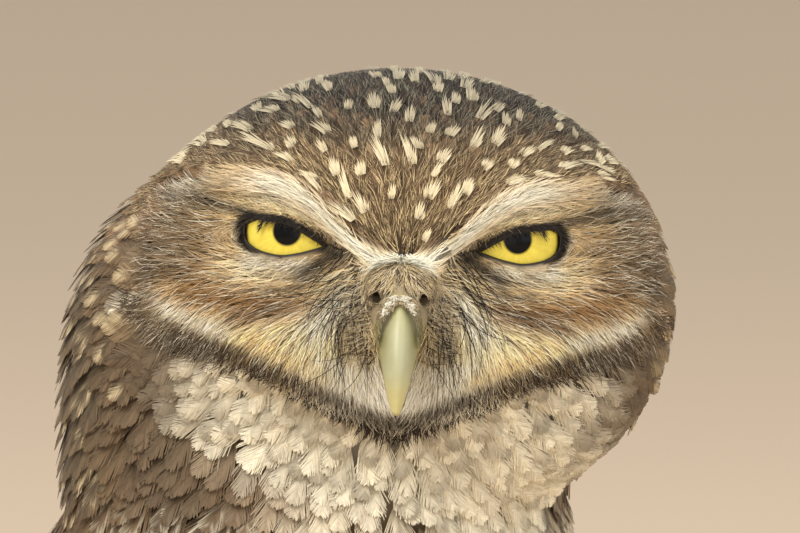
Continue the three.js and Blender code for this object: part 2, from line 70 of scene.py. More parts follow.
LOWER_BILL = [
    (-22.0, -3.4, -22.0, -7.4, 2.9), (-26.0, -3.6, -25.6, -7.9, 2.5), (-29.2, -4.6, -28.0, -8.4, 1.9),
    (-30.8, -7.2, -30.0, -9.1, 0.8),
]
CERE_AT = np.array([0.0, -25.2, 1.3])
BODY_LUMPS = [
    ((0, 11, 116), (31, 30, 52), 27), ((0, -8, 139), (29.5, 25, 34), 18),
    ((0, -5, 165), (28, 26, 25), 0), ((0, -1.3, 182), (26, 22, 22), 0),
]
BODY_BLEND = 9
RUMP = ((0, 40, 74), (26, 16, 60), 40)
RUMP_BLEND = 22
BODY_CORE = np.array([0.0, 4.0, 128.0])
THIGH = ((15, 6, 77), (11.5, 15, 26), 12)
FOOT_X, FOOT_Y = 17, 6
HEEL_Y, HEEL_Z = 13, 50
TOES = [
    ("inner", -20, 18, 2.6, 2.0), ("middle", 9, 21, 2.7, 2.0), ("outer", 82, 18, 2.5, 1.9),
    ("hind", 166, 12, 2.4, 1.9),
]
FLAT_DEPTH = 0.45
CLAW_REACH, CLAW_ARCH, CLAW_RADIUS, CLAW_TIP = 8.4, 1.7, 1.25, 0.18
WING_AXIS = [np.array(p, float) for p in ((0, -6, 163), (0, 16, 96), (0, 72, 40))]
TAIL_ROOT = np.array([0.0, 34.0, 86.0])
TAIL_DOWN, TAIL_LENGTH = 50, 69
TARSUS_RADII = [3.0, 2.4, 2.3, 2.6, 3.3]

# Sizes that only the looks have

CERE_SHOWN = np.array([3.4, 3.0, 2.7])  # drawn in from the solid's, for the down over it
LID_RISE = 0.5
LID_MIDDLE_X, LID_MIDDLE_Z = 12.75, 6.2
LID_HALF_X, LID_HALF_Z = 4.4, 1.9
NOSTRIL_X, NOSTRIL_Z = 2.65, 0.15
FACE_Y = -31.5  # where places on the bill start, in the head's frame
HEAD_COAT, BODY_COAT = 2.3, 3.2  # depths of the skin below the outline of the solids
HEAD_BLEND, LEG_BLEND = 5, 7
# Painted shade: the skin under the coat is darkened to stand for the shade in the gaps between the feathers.
SKIN_PAINTED_SHADE = 0.5  # the skin is this much darker than the feathers over it
SIDES = (("left", 1), ("right", -1))
MM = 0.001  # in metres
METRE = 1000  # in millimetres


# Helpers

def unit(v):
    return v / np.maximum(np.linalg.norm(v, axis=-1, keepdims=True), 1e-9)


def lerp(a, b, t):
    return a + (b - a) * t


def smooth(x, low, high):
    t = np.clip((x - low) / (high - low), 0, 1)
    return t * t * (3 - 2 * t)


def bell(x, width):
    return np.exp(-((x / width) ** 2))


def linear(rgb):
    c = np.asarray(rgb, float) / 255
    return np.where(c <= 0.04045, c / 12.92, ((c + 0.055) / 1.055) ** 2.4)


def turn(axis, degrees):
    return np.array(Matrix.Rotation(math.radians(degrees), 3, axis))


def direction(azimuth, elevation):
    """A way to look from: azimuth 0 is ahead of the owl, and positive is to its left."""
    a, e = math.radians(azimuth), math.radians(elevation)
    return np.array([math.sin(a) * math.cos(e), -math.cos(a) * math.cos(e), math.sin(e)])


HEAD_TURN = turn("Z", HEAD_YAW) @ turn("X", HEAD_PITCH) @ turn("Y", HEAD_ROLL)


def from_head(q):
    return q @ HEAD_TURN.T + HEAD_CENTRE


def to_head(p):
    return (p - HEAD_CENTRE) @ HEAD_TURN


def side_of(q):
    """Which side of the head a place is on: 1 or -1."""
    return np.where(q[..., 0] < 0, -1.0, 1.0)


def mirrored(point, side):
    return point * np.array([side, 1, 1])


def folded(q):
    """The same place on the left side of the head."""
    return np.concatenate([np.abs(q[..., :1]), q[..., 1:]], -1)


# Distance fields

def head_radius(d):
    depth = np.where(d[..., 1] < 0, HEAD_FRONT, HEAD_BACK)
    base = 1 / np.sqrt(
        (d[..., 0] / HEAD_SIDE) ** 2 + (d[..., 1] / depth) ** 2 + (d[..., 2] / HEAD_UP) ** 2
    )
    x = np.abs(d[..., 0] * base)
    z = d[..., 2] * base
    front = smooth(-d[..., 1], 0.1, 0.55)
    hollow = -3.4 * bell(x - 14, 8) * bell(z - 4.5, 6.5)
    brow_height = 13 - 11 * np.exp(-((x / 7.4) ** 1.6))
    brow = 2.4 * bell(z - brow_height, 2.3) * smooth(x, 1, 5) * (1 - smooth(x, 18, 25))
    bridge = 2 * bell(x, 3.6) * bell(z - 1, 5.5)
    cheek = 1.3 * bell(x - 12, 8) * bell(z + 6, 4)
    below = -12.8 + 0.022 * x * x - z
    groove = -2.4 * smooth(below, -1, 4) * (1 - smooth(below, 5, 13)) * (1 - smooth(x, 16, 26))
    return base + front * (hollow + brow + bridge + cheek + groove)


def head_field(p):
    q = to_head(p)
    r = np.linalg.norm(q, axis=-1)
    return r - head_radius(q / np.maximum(r, 1e-6)[..., None])


def lump_field(p, lump, fold=False):
    at, half, lean = lump
    c, s = math.cos(math.radians(lean)), math.sin(math.radians(lean))
    x = (np.abs(p[..., 0]) if fold else p[..., 0]) - at[0]
    y = p[..., 1] - at[1]
    z = p[..., 2] - at[2]
    q = np.stack([x, y * c + z * s, z * c - y * s], -1)
    k0 = np.linalg.norm(q / half, axis=-1)
    k1 = np.linalg.norm(q / np.square(half), axis=-1)
    return k0 * (k0 - 1) / np.maximum(k1, 1e-9)


def melt(a, b, blend):
    h = np.maximum(blend - np.abs(a - b), 0)
    return np.minimum(a, b) - h * h / (4 * blend)


def body_field(p):
    d = lump_field(p, BODY_LUMPS[0])
    for lump in BODY_LUMPS[1:]:
        d = melt(d, lump_field(p, lump), BODY_BLEND)
    return d


def wrap_field(p):
    return melt(body_field(p), lump_field(p, RUMP), RUMP_BLEND)


def thigh_field(p):
    return lump_field(p, THIGH, fold=True)


def coat_field(p):
    return melt(melt(head_field(p), body_field(p), HEAD_BLEND), thigh_field(p), LEG_BLEND)


def ball_field(p, radius):
    return np.linalg.norm(folded(to_head(p)) - EYE, axis=-1) - radius


def cere_field(p):
    q = (to_head(p) - CERE_AT) / CERE_SHOWN
    return (np.linalg.norm(q, axis=-1) - 1) * CERE_SHOWN[0]


def face_field(p):
    """The outline of the coat where it runs over the eyeballs and the cere."""
    lids = melt(coat_field(p), ball_field(p, EYE_RADIUS + LID_RISE), 2.0)
    return melt(lids, cere_field(p), 1.2)


def skin_field(p):
    return melt(
        melt(head_field(p) + HEAD_COAT, body_field(p) + BODY_COAT, HEAD_BLEND),
        thigh_field(p) + BODY_COAT,
        LEG_BLEND,
    )


STEP = 0.08
TETRA = np.array([(1, 1, 1), (1, -1, -1), (-1, 1, -1), (-1, -1, 1)], float)


def slope(field, p):
    g = np.zeros_like(p)
    for corner in TETRA:
        g += field(p + corner * STEP)[..., None] * corner
    return g / (4 * STEP)


def project(field, p, level=0.0, steps=3):
    for _ in range(steps):
        g = slope(field, p)
        gap = field(p) - level
        move = gap[..., None] * g / np.maximum((g * g).sum(-1, keepdims=True), 0.05)
        p = p - np.clip(move, -4, 4)
    return p


def march(field, start, ray, level, reach, rounds=18):
    """Where rays that start inside a field leave a level of it."""
    near = np.zeros(ray.shape[:-1])
    far = np.full(near.shape, float(reach))
    for _ in range(rounds):
        middle = (near + far) / 2
        inside = field(start + ray * middle[..., None]) < level
        near = np.where(inside, middle, near)
        far = np.where(inside, far, middle)
    return start + ray * near[..., None]


# Meshes

eye_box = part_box("eye_left")
eye_middle = np.array((eye_box[0] + eye_box[1]) / 2) * METRE
SHIFT = eye_middle - from_head(EYE)
materials = {}


def bare_mesh(name, points, faces):
    """A mesh of triangles or quads, from points in millimetres."""
    points = np.asarray(points, float).reshape(-1, 3)
    faces = np.asarray(faces, np.int32)
    mesh = bpy.data.meshes.new(name)
    mesh.vertices.add(len(points))
    mesh.vertices.foreach_set("co", ((points + SHIFT) * MM).astype(np.float32).ravel())
    mesh.loops.add(faces.size)
    mesh.loops.foreach_set("vertex_index", faces.ravel())
    mesh.polygons.add(len(faces))
    mesh.polygons.foreach_set("loop_start", np.arange(0, faces.size, faces.shape[1], dtype=np.int32))
    mesh.update(calc_edges=True)
    return mesh


def linked(name, data):
    thing = bpy.data.objects.new(name, data)
    bpy.context.scene.collection.objects.link(thing)
    return thing


def finish_mesh(name, points, faces, slot, colour, uv, *replaced):
    """Makes a piece, with its colours as a colour attribute, painted light and shade among them, and its map
    for the bake.
    """
    mesh = bare_mesh(name, points, faces)
    mesh.polygons.foreach_set("use_smooth", np.ones(len(mesh.polygons), bool))
    rgba = np.ones((len(mesh.vertices), 4), np.float32)
    rgba[:, :3] = np.clip(colour, 0, 1).reshape(-1, 3)
    mesh.color_attributes.new("markings_light_and_shade", "FLOAT_COLOR", "POINT").data.foreach_set("color", rgba.ravel())
    loops = uv.reshape(-1, 2)[np.ravel(faces)].astype(np.float32)
    mesh.uv_layers.new(name="OFBake").data.foreach_set("uv", loops.ravel())
    mesh.materials.append(materials[slot])
    piece = linked(name, mesh)
    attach(piece, "root")
    if replaced:
        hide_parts(*replaced)


def grid_faces(grid):
    """Quads of a grid of points whose rows are closed rings."""
    rows, columns = grid.shape[:2]
    r = np.arange(rows - 1)[:, None] * columns
    c = np.arange(columns)[None, :]
    n = (c + 1) % columns
    return np.stack([r + c, r + n, r + columns + n, r + columns + c], -1).reshape(-1, 4)


def grid_uv(grid, across=0.05, along=0.05, closed=True):
    """A plain map of a grid, with a margin across and along; closed leaves room for the last quads."""
    rows, columns = grid.shape[:2]
    u = np.linspace(across, 1 - across, columns, endpoint=not closed)
    return np.stack(np.meshgrid(u, np.linspace(along, 1 - along, rows)), -1)


def ball(rings, around):
    """Directions on a ball, ring by ring from its pole, with their angles from it and round it."""
    theta = np.linspace(0, math.pi, rings)[:, None]
    phi = np.linspace(0, 2 * math.pi, around, endpoint=False)[None, :]
    flat = np.sin(theta)
    return np.stack([flat * np.cos(phi), flat * np.sin(phi), np.cos(theta) + 0 * phi], -1), theta, phi


def joined(parts):
    """One mesh from parts that are each points, faces and, for each point, a colour or a map place."""
    faces, start = [], 0
    for points, part_faces, *_ in parts:
        faces.append(part_faces + start)
        start += points.size // 3
    rest = [
        np.concatenate([part[k].reshape(-1, part[k].shape[-1]) for part in parts])
        for k in range(len(parts[0])) if k != 1
    ]
    return rest[0], np.concatenate(faces), *rest[1:]


def nearest_tree(points):
    tree = KDTree(len(points))
    for i, at in enumerate(points):
        tree.insert(at, i)
    tree.balance()
    return tree


def spline(points, count):
    """Even steps along a smooth curve through the points."""
    p = np.asarray(points, float)
    p = np.vstack([2 * p[0] - p[1], p, 2 * p[-1] - p[-2]])
    u = np.linspace(0, len(p) - 3, count)
    k = np.minimum(u.astype(int), len(p) - 4)
    t = (u - k)[:, None]
    a, b, c, d = p[k], p[k + 1], p[k + 2], p[k + 3]
    return 0.5 * (
        2 * b + (c - a) * t + (2 * a - 5 * b + 4 * c - d) * t ** 2 + (3 * b - a - 3 * c + d) * t ** 3
    )


# Unwraps of the skin's own shape

MAP_MARGIN = 0.02
MAP_LEAN = 0.35  # how far the middle of the body's map moves back with each step down
MAP_HIGH = 215


def in_map(around, height):
    return MAP_MARGIN + (1 - 2 * MAP_MARGIN) * np.stack([around, height], -1)


def unwrap_head(p):
    q = unit(to_head(p))
    around = np.arctan2(q[..., 0], -q[..., 1]) / (2 * math.pi) + 0.5
    return in_map(around, np.arcsin(np.clip(q[..., 2], -1, 1)) / math.pi + 0.5)


def unwrap_body(p):
    d = p - BODY_CORE
    around = np.arctan2(d[..., 0], -(d[..., 1] + MAP_LEAN * d[..., 2])) / (2 * math.pi) + 0.5
    return in_map(around, np.clip(p[..., 2] / MAP_HIGH, 0, 1))


# Markings of the skin and of the small feathers, as soft regions

HUE = {
    name: linear(rgb)
    for name, rgb in dict(
        crown=(140, 114, 86), crown_dark=(62, 54, 48), crown_spot=(238, 222, 184), brow=(246, 241, 222),
        brow_buff=(228, 202, 152), buff=(222, 194, 146), cream=(242, 218, 168), white=(250, 243, 222),
        gold=(226, 182, 112), brown=(140, 103, 60), streak=(100, 70, 42), dark=(58, 48, 38),
        black=(34, 28, 24), lore=(176, 158, 124), patch=(112, 100, 76), grey=(150, 142, 122),
        collar=(44, 34, 28), collar_brown=(82, 68, 52), side=(102, 85, 65), nape=(98, 83, 63),
        nape_spot=(180, 163, 130), back=(122, 94, 64), back_dark=(92, 70, 48), ring=(206, 196, 176),
        crown_hackle=(116, 92, 64), belly=(238, 228, 202), bar=(140, 106, 70), thigh=(226, 208, 170),
    ).items()
}


def blend(colour, other, weight):
    return lerp(colour, other, np.clip(weight, 0, 1)[..., None])


def segment_distance(x, z, a, b):
    ax, az = a
    bx, bz = b
    t = np.clip(((x - ax) * (bx - ax) + (z - az) * (bz - az)) / ((bx - ax) ** 2 + (bz - az) ** 2), 0, 1)
    return np.hypot(x - ax - t * (bx - ax), z - az - t * (bz - az))


def lid_gap(x, z):
    """How far a place seen from the front is outside the lids' opening, negative inside it."""
    ring = np.array(LID_OPENING)
    inside = np.zeros(x.shape, bool)
    nearest = np.full(x.shape, 99.0)
    for (ax, az), (bx, bz) in zip(ring, np.roll(ring, -1, 0)):
        cross = (az > z) != (bz > z)
        at = (bx - ax) * (z - az) / (bz - az + 1e-12) + ax
        inside ^= cross & (x < at)
        nearest = np.minimum(nearest, segment_distance(x, z, (ax, az), (bx, bz)))
    return np.where(inside, -nearest, nearest)


def rim_width(x, z):
    """Width of the dark rim round an eye: widest at its outer end, narrow below."""
    angle = np.arctan2(z - LID_MIDDLE_Z, x - LID_MIDDLE_X)
    return 0.28 + 0.45 * smooth(np.sin(angle), -0.4, 0.5) + 0.5 * smooth(np.cos(angle), 0.75, 0.98)


def rim_colour(c, x, z):
    gap = lid_gap(x, z)
    wide = rim_width(x, z)
    low = 1 - smooth(z - 6.2 - 0.6 * (x - 17), 0.0, 1.6)
    c = blend(c, HUE["ring"], 0.75 * bell(gap - wide - 0.32, 0.26) * low * smooth(x, 9, 11))
    return blend(c, HUE["black"], 1 - smooth(gap, wide - 0.1, wide + 0.3))


def brow_line(x):
    """Height of the middle of the pale brow, which dips to a V over the bill."""
    return 12.3 - 8.3 * np.exp(-((np.abs(x) / 9) ** 2.6))


def brow_half(x):
    return lerp(1.05, 1.6, smooth(x, 2, 9))


COLLAR_OUT = [0, 1.3, 5, 9.9, 14, 17, 20.3, 25.3, 28.6, 34]
COLLAR_UP = [-12.5, -12.3, -10.8, -8.8, -6.9, -5.7, -4.8, -2.9, -0.2, 5]


def collar_line(x):
    """Height of the upper edge of the dark collar that frames the face from below."""
    return np.interp(x, COLLAR_OUT, COLLAR_UP)


PATCH_LINE = (4.7, -2.6), (5.0, -4.9)  # the grey patch beside the bill
FACE_MARKS = [
    ("brown", 0.9, (11, -0.9), (21, -0.5), 1.5), ("brown", 0.6, (20, 0.0), (25, 1.8), 1.8),
    ("streak", 0.85, (12.5, -1.3), (18.0, -2.6), 1.0), ("brown", 0.7, (21.5, 7.0), (23.0, 0.0), 2.2),
    ("white", 0.75, (10.5, 3.2), (16.5, 3.5), 1.1), ("white", 0.6, (4.6, 1.6), (9.0, -3.4), 1.6),
    ("dark", 0.95, (7.3, 4.7), (11.0, 2.0), 0.85),
    ("side", 0.6, (21.0, 10.3), (25.0, 10.8), 1.3),
    ("dark", 0.7, (11.0, 0.9), (14.5, 0.6), 0.35), ("patch", 0.8, *PATCH_LINE, 1.1),
]


def face_colour(q):
    """Colour of the front of the head, by the place seen from its front."""
    x = np.abs(q[..., 0])
    z = q[..., 2]
    c = np.broadcast_to(HUE["buff"], q.shape).copy()
    c = blend(c, HUE["cream"], smooth(-z, 1.5, 4.5) * smooth(x, 4, 7))
    for hue, strength, start, end, width in FACE_MARKS:
        c = blend(c, HUE[hue], strength * bell(segment_distance(x, z, start, end), width))
    c = blend(c, HUE["side"], 0.85 * smooth(x, 19, 24.5) * smooth(z, 0, 3))
    outer = 1 - smooth(x, 18, 23)
    c = blend(c, HUE["brow_buff"], 0.8 * bell(z - brow_line(x) + 2.6, 1.4) * smooth(x, 6, 10) * outer)
    c = blend(c, HUE["white"], 0.9 * smooth(-z, 5.8, 7.6) * (1 - smooth(x, 8, 13)))
    gap = z - collar_line(x)
    c = blend(c, HUE["gold"], 0.6 * bell(gap - 1.2, 1.1) * smooth(x, 6, 9) * (1 - smooth(x, 15, 19)))
    c = blend(c, HUE["white"], 0.85 * bell(gap - 0.9, 0.9) * smooth(x, 17, 20) * (1 - smooth(x, 27, 30)))
    c = blend(c, HUE["brow_buff"] * 0.8, 0.8 * bell(x, 3.2) * bell(z - 2.0, 1.2))
    c = blend(c, HUE["brow"], bell(z - brow_line(x), brow_half(x)) * (1 - 0.7 * smooth(x, 14, 20)))
    c = blend(c, HUE["dark"], 0.85 * bell(segment_distance(x, z, (16.0, 8.7), (22.4, 10.2)), 0.7))
    corner = segment_distance(x, z, (8.9, 5.9), (6.9, 4.6))
    c = blend(c, HUE["black"], 0.95 * bell(corner, 0.95) * (z < brow_line(x) - 0.8))
    return rim_colour(c, x, z)


def fine_streaks(q):
    """Light and dark streaks that run out from the inner corner of the eye, from -1 to 1."""
    x = np.abs(q[..., 0]) - 6.0
    z = q[..., 2] - 5.0
    a = np.arctan2(z, x)
    r = np.hypot(x, z)
    return (
        0.45 * np.sin(47 * a + 2.0 * np.sin(0.55 * r + 3 * a))
        + 0.35 * np.sin(83 * a + 1.4 * np.sin(0.8 * r) + 1.3)
        + 0.3 * np.sin(1.9 * r + 11 * a) * np.sin(0.7 * r - 19 * a)
    )


def crown_colour(q):
    top = lerp(HUE["crown"], HUE["crown_dark"], smooth(q[..., 2], 13, 21)[..., None])
    c = blend(top, HUE["nape"], smooth(q[..., 1], 2, 14))
    return blend(c, HUE["side"], smooth(-q[..., 2], -9, -3))


def head_colour(q):
    """Colour of the whole head: face, crown, collar and the back of the head."""
    x = np.abs(q[..., 0])
    y = q[..., 1]
    z = q[..., 2]
    front = smooth(-y, 0, 6) * (1 - smooth(x, 25, 28))
    c = crown_colour(q)
    face = face_colour(q)
    under = smooth(brow_line(x) + brow_half(x) - z, -0.4, 0.1)
    c = blend(c, face, front * under)
    below = collar_line(x) - z
    deep = lerp(1.3, 2.5, smooth(x, 10, 16))
    ring = smooth(below, -0.3, 0.2) * (1 - smooth(below, deep, deep + 1.2))
    c = blend(c, lerp(HUE["collar"], HUE["collar_brown"], smooth(x, 16, 30)[..., None]), ring * front)
    c = blend(c, HUE["white"], smooth(below, 2.0, 3.2) * smooth(-y, -4, 6) * (1 - smooth(x, 14, 22)))
    c = blend(c, HUE["side"], smooth(below, 2.2, 3.4) * smooth(x, 14, 24))
    return c


def body_colour(p):
    y = p[..., 1]
    z = p[..., 2]
    n = unit(slope(body_field, p))
    back = smooth(n[..., 1], -0.35, 0.1)
    front = lerp(HUE["belly"], HUE["brown"], smooth(z, 118, 140)[..., None])
    aside = smooth(np.abs(p[..., 0]), 14, 24)
    front = blend(front, HUE["belly"], smooth(z, 158, 168) * 0.7 * (1 - aside))
    front = blend(front, HUE["side"], smooth(z, 150, 166) * aside)
    c = lerp(front, HUE["back"], back[..., None])
    c = blend(c, HUE["nape"], smooth(z, 160, 172) * back)
    return blend(c, HUE["thigh"], smooth(-z, -88, -74) * (1 - back * smooth(y, 16, 26)))


def coat_colour(p):
    h = head_field(p)
    b = body_field(p)
    return lerp(head_colour(to_head(p)), body_colour(p), smooth(h - b, -2, 2)[..., None])


# Lie of the coat: the way that feathers point

def way_crown(p):
    q = to_head(p)
    w = unit(q - np.array([0, -24.0, 3.0]))
    w[..., 2] -= 1.6 * smooth(q[..., 1], -8, 16)
    return w @ HEAD_TURN.T


def way_face(p):
    """Out from the inner corner of the eye, round the lids near them and down on the bill."""
    q = to_head(p)
    side = side_of(q)
    start = np.stack([side * 6.6, np.full_like(side, -25.0), np.full_like(side, 4.8)], -1)
    w = unit(q - start)
    x = np.abs(q[..., 0])
    near = bell(x, 4.0) * smooth(q[..., 2], -2, 3)
    w[..., 2] -= 0.55 * smooth(x, 12, 24) * smooth(-q[..., 2], -3, 3)
    down = np.stack([0.35 * side, np.zeros_like(side), -np.ones_like(side)], -1)
    w = unit(lerp(w, down, near[..., None]))
    ux, uz = (x - LID_MIDDLE_X) / LID_HALF_X, (q[..., 2] - LID_MIDDLE_Z) / LID_HALF_Z
    out = np.stack([ux / LID_HALF_X, uz / LID_HALF_Z], -1)
    gx, gz = np.moveaxis(out / np.maximum(np.hypot(out[..., :1], out[..., 1:]), 1e-6), -1, 0)
    flip = np.where(gx * w[..., 2] - gz * w[..., 0] * side < 0, -1.0, 1.0)
    round_eye = np.stack([side * (0.3 * gx - gz * flip), 0 * gx, gx * flip + 0.3 * gz], -1)
    share = bell(np.maximum(np.hypot(ux, uz) - 1, 0), 0.9)
    return lerp(w, unit(round_eye), share[..., None]) @ HEAD_TURN.T


def way_brow(p):
    q = to_head(p)
    side = side_of(q)
    x = np.abs(q[..., 0])
    rise = (brow_line(x + 0.1) - brow_line(x - 0.1)) * 5
    return np.stack([side, 0.3 * np.ones_like(side), rise + 0.12], -1) @ HEAD_TURN.T


def down_way(spread, forward, down, aside=lambda q: 0.0):
    """A way down the head, that spreads with the distance from its middle plus a step aside."""
    def way(p):
        q = to_head(p)
        x = spread * q[..., 0] + side_of(q) * aside(q)
        return np.stack([x, np.full_like(x, forward), np.full_like(x, down)], -1) @ HEAD_TURN.T
    return way


way_chin = down_way(0.06, 0.3, -1.0)
way_fuzz = down_way(0.5, -0.5, -0.8)
way_bill_down = down_way(0.12, -0.3, -1.0)
way_bridge = down_way(0.3, -0.3, -0.8)
way_lash = down_way(0, -0.2, -0.8, lambda q: 0.75)
way_bristle = down_way(0, -0.1, -1.0, lambda q: 0.12 + 1.2 * smooth(q[..., 2], -5, 4))


def way_body(p):
    return np.broadcast_to(np.array([0, 0.35, -1.0]), p.shape)


# Feathers and strands

def trace(field, roots, way, lengths, stations, levels, spread, rng, curl=0.0, veers=0.0):
    """Centre lines that run over the coat from their roots: points, outward and sideways directions."""
    veer = (veers + rng.normal(0, spread, len(roots)))[:, None]
    bend = rng.normal(0, curl, len(roots))[:, None] / (stations - 1)
    p = project(field, roots, levels[0], 2)
    points, outs, overs = [], [], []
    for k in range(stations):
        if k:
            p = p + step * (lengths / (stations - 1))[:, None]
            p = project(field, p, levels[k], 1)
        out = unit(slope(field, p))
        w = way(p)
        w = unit(w - (w * out).sum(-1, keepdims=True) * out)
        over = np.cross(out, w)
        angle = veer + bend * k
        step = unit(w * np.cos(angle) + over * np.sin(angle))
        points.append(p)
        outs.append(out)
        overs.append(np.cross(step, out))
    return np.stack(points, 1), np.stack(outs, 1), np.stack(overs, 1)


def sample(stations, s):
    count = stations.shape[1]
    f = np.clip(s, 0, 1) * (count - 1)
    k = np.minimum(f.astype(int), count - 2)
    t = (f - k)[..., None]
    row = np.arange(len(stations))[:, None]
    return stations[row, k] * (1 - t) + stations[row, k + 1] * t


def fan(count, barbs, cuts, rng, sweep=0.26, ragged=0.1, blunt=0.5, narrow=0.62):
    """Feathers as two fans of barbs on a shaft, in places s along and x across, with the triangles."""
    s0 = np.linspace(0.02, 0.985, barbs)
    s1 = np.minimum(s0 + sweep * np.sqrt(1 - s0), 1 - 0.3 * (1 - s0))
    width = np.nan_to_num(np.sin(math.pi * np.minimum(s1 + 0.02, 1) ** narrow) ** blunt)
    half = 0.62 * 0.965 / (barbs - 1)
    columns = []
    for side in (-1, 1):
        for k in range(cuts + 1):
            share = k / cuts
            centre = lerp(s0, s1, share ** 1.25)
            keep = half * lerp(1, 0.7, share)
            for edge in (-1, 1):
                columns.append((centre + edge * keep, side * width * share, edge, share))
    s, x, edge, g = (
        np.concatenate([np.broadcast_to(column[i], barbs) for column in columns])[None].astype(float)
        for i in range(4)
    )
    per_side = 2 * (cuts + 1)
    triangles = []
    for o in np.arange(2 * per_side * barbs).reshape(2, per_side, barbs):
        for k in range(cuts):
            a, b, c, d = o[2 * k], o[2 * k + 1], o[2 * k + 3], o[2 * k + 2]
            triangles += [np.stack([a, b, c], -1), np.stack([a, c, d], -1)]
    barb = np.tile(np.arange(barbs), 2 * per_side)
    half_of = np.repeat([0, 1], per_side * barbs)
    shake = rng.normal(0, ragged, (count, 2, barbs))[:, half_of, barb]
    tone = rng.normal(0, 1, (count, 2, barbs))[:, half_of, barb]
    x = x * (1 + shake * g)
    s = s + 0.25 * shake * g * (1 - s)
    faces = all_faces(np.concatenate(triangles), count, s.shape[1])
    return SimpleNamespace(s=s, x=x, edge=edge, tone=tone, faces=faces)


def all_faces(faces, count, per_item):
    offsets = (np.arange(count) * per_item)[:, None, None]
    return (faces[None] + offsets).reshape(-1, faces.shape[1])


def ribbon_order(stations):
    """Which station of its strand each point of a ribbon is at: one edge, the other edge, the tip."""
    return [*range(stations - 1), *range(stations)]


def ribbons(lines, across):
    """Strands that narrow to a point: points, faces, and places s along and x across."""
    count, stations = lines.shape[:2]
    pairs = stations - 1
    edges = across[:, :pairs]
    points = np.concatenate([lines[:, :pairs] - edges, lines[:, :pairs] + edges, lines[:, -1:]], 1)
    faces = []
    for k in range(pairs - 1):
        faces += [(k, k + 1, pairs + k + 1), (k, pairs + k + 1, pairs + k)]
    faces.append((pairs - 1, 2 * pairs, 2 * pairs - 1))
    s = np.linspace(0, 1, stations)[ribbon_order(stations)][None].repeat(count, 0)
    x = np.repeat([-1.0, 1.0, 0.0], [pairs, pairs, 1])[None].repeat(count, 0)
    return points, all_faces(np.array(faces), count, points.shape[1]), s, x


def patch_uv(base, s, x, size=0.003):
    """A small patch of the map for each tuft, at its root's place."""
    return base[:, None, :] + size * np.stack([0.5 * x, s - 0.5], -1)


SPOTTED_SHARE = 0.28


def is_spotted(draw):
    return draw[:, 1:2] < SPOTTED_SHARE


def toned(colour, shade, least=0.4):
    return colour * np.clip(1 + shade, least, 2 - least)[..., None]


def feather_coat(name, roots, field, way, length, half, barbs, levels, paint, slot, seed, spread=0.12,
                 tilt=0.05, ragged=0.1, unwrap=unwrap_body, sweep=0.26, tones=0.08, lines_tone=0.2,
                 raise_spots=0.0):
    """A coat of feathers over a field. paint(root, s, x, draw) gives the colours."""
    rng = np.random.default_rng(seed)
    count = len(roots)
    lengths = length * rng.uniform(0.88, 1.12, count)
    halves = half * rng.uniform(0.88, 1.12, count)
    stations = 5
    heights = lerp(*levels, np.linspace(0, 1, stations) ** 0.8)
    lines, outs, overs = trace(field, roots, way, lengths, stations, heights, spread, rng)
    f = fan(count, barbs, 2, rng, sweep, ragged)
    across = f.x * halves[:, None]
    up = f.edge * 0.5 * tilt - across ** 2 / 50
    draw = rng.random((count, 6))
    lift = rng.uniform(-0.12, 0.12, count)[:, None] + raise_spots * is_spotted(draw)
    points = (
        sample(lines, f.s)
        + sample(overs, f.s) * across[..., None]
        + unit(sample(outs, f.s)) * (up + lift * f.s)[..., None]
    )
    # Each barb is lighter along one edge and darker along the other, as painted highlight and painted shade.
    colour = toned(paint(lines[:, 0], f.s, f.x, draw), tones * f.tone + lines_tone * f.edge)
    finish_mesh(name, points, f.faces, slot, colour, patch_uv(unwrap(roots), f.s, f.x))


def strand_coat(name, roots, way, length, width, levels, paint, slot, seed, field=face_field, spread=0.2,
                stations=4, roll=0.5, bend=0.0, taper=1.0, tones=0.1, curl=0.0, keep=None,
                lines_tone=0.35, veers=0.0):
    """A coat of single strands, each a ribbon that narrows to its tip."""
    rng = np.random.default_rng(seed)
    count = len(roots)
    lengths = length * rng.uniform(0.7, 1.3, count) if np.isscalar(length) else length
    steps = np.linspace(0, 1, stations)
    heights = lerp(*levels, steps ** 0.8)
    lines, outs, overs = trace(field, roots, way, lengths, stations, heights, spread, rng, curl, veers)
    if keep:
        kept = keep(lines)
        roots, lines, outs, overs = roots[kept], lines[kept], outs[kept], overs[kept]
        count = len(roots)
    rolls = rng.normal(0, roll, count)[:, None, None]
    across = overs * np.cos(rolls) + outs * np.sin(rolls)
    raised = rng.uniform(0, 1, count)[:, None] * bend
    lines = lines + outs * (raised * steps[None] ** 2)[..., None]
    widths = width * rng.uniform(0.7, 1.3, count)[:, None] * (1 - steps[None] ** 2 * taper)
    points, faces, s, x = ribbons(lines, across * (widths / 2)[..., None])
    draw = rng.random((count, 6))
    colour = paint(lines[:, ribbon_order(stations)], s, x, draw)
    # Each strand is lighter along one edge and darker along the other, as painted highlight and painted
    # shade.
    colour = toned(colour, tones * rng.normal(0, 1, (count, 1)) + lines_tone * x)
    finish_mesh(name, points, faces, slot, colour, patch_uv(unwrap_head(roots), s, x))


# Materials

def new_material(name, roughness, specular=0.3):
    material = bpy.data.materials.new(name)
    material.use_nodes = True
    tree = material.node_tree
    shader = tree.nodes["Principled BSDF"]
    shader.inputs["Roughness"].default_value = roughness
    shader.inputs["Specular IOR Level"].default_value = specular
    return material, tree, shader


def add(tree, kind, **settings):
    node = tree.nodes.new(kind)
    for key, value in settings.items():
        if key in node.inputs.keys():
            node.inputs[key].default_value = value
        else:
            setattr(node, key, value)
    return node


def mottle(tree, scale, detail=4.0):
    place = add(tree, "ShaderNodeTexCoord")
    noise = add(tree, "ShaderNodeTexNoise", Scale=scale, Detail=detail)
    tree.links.new(place.outputs["Object"], noise.inputs["Vector"])
    return noise


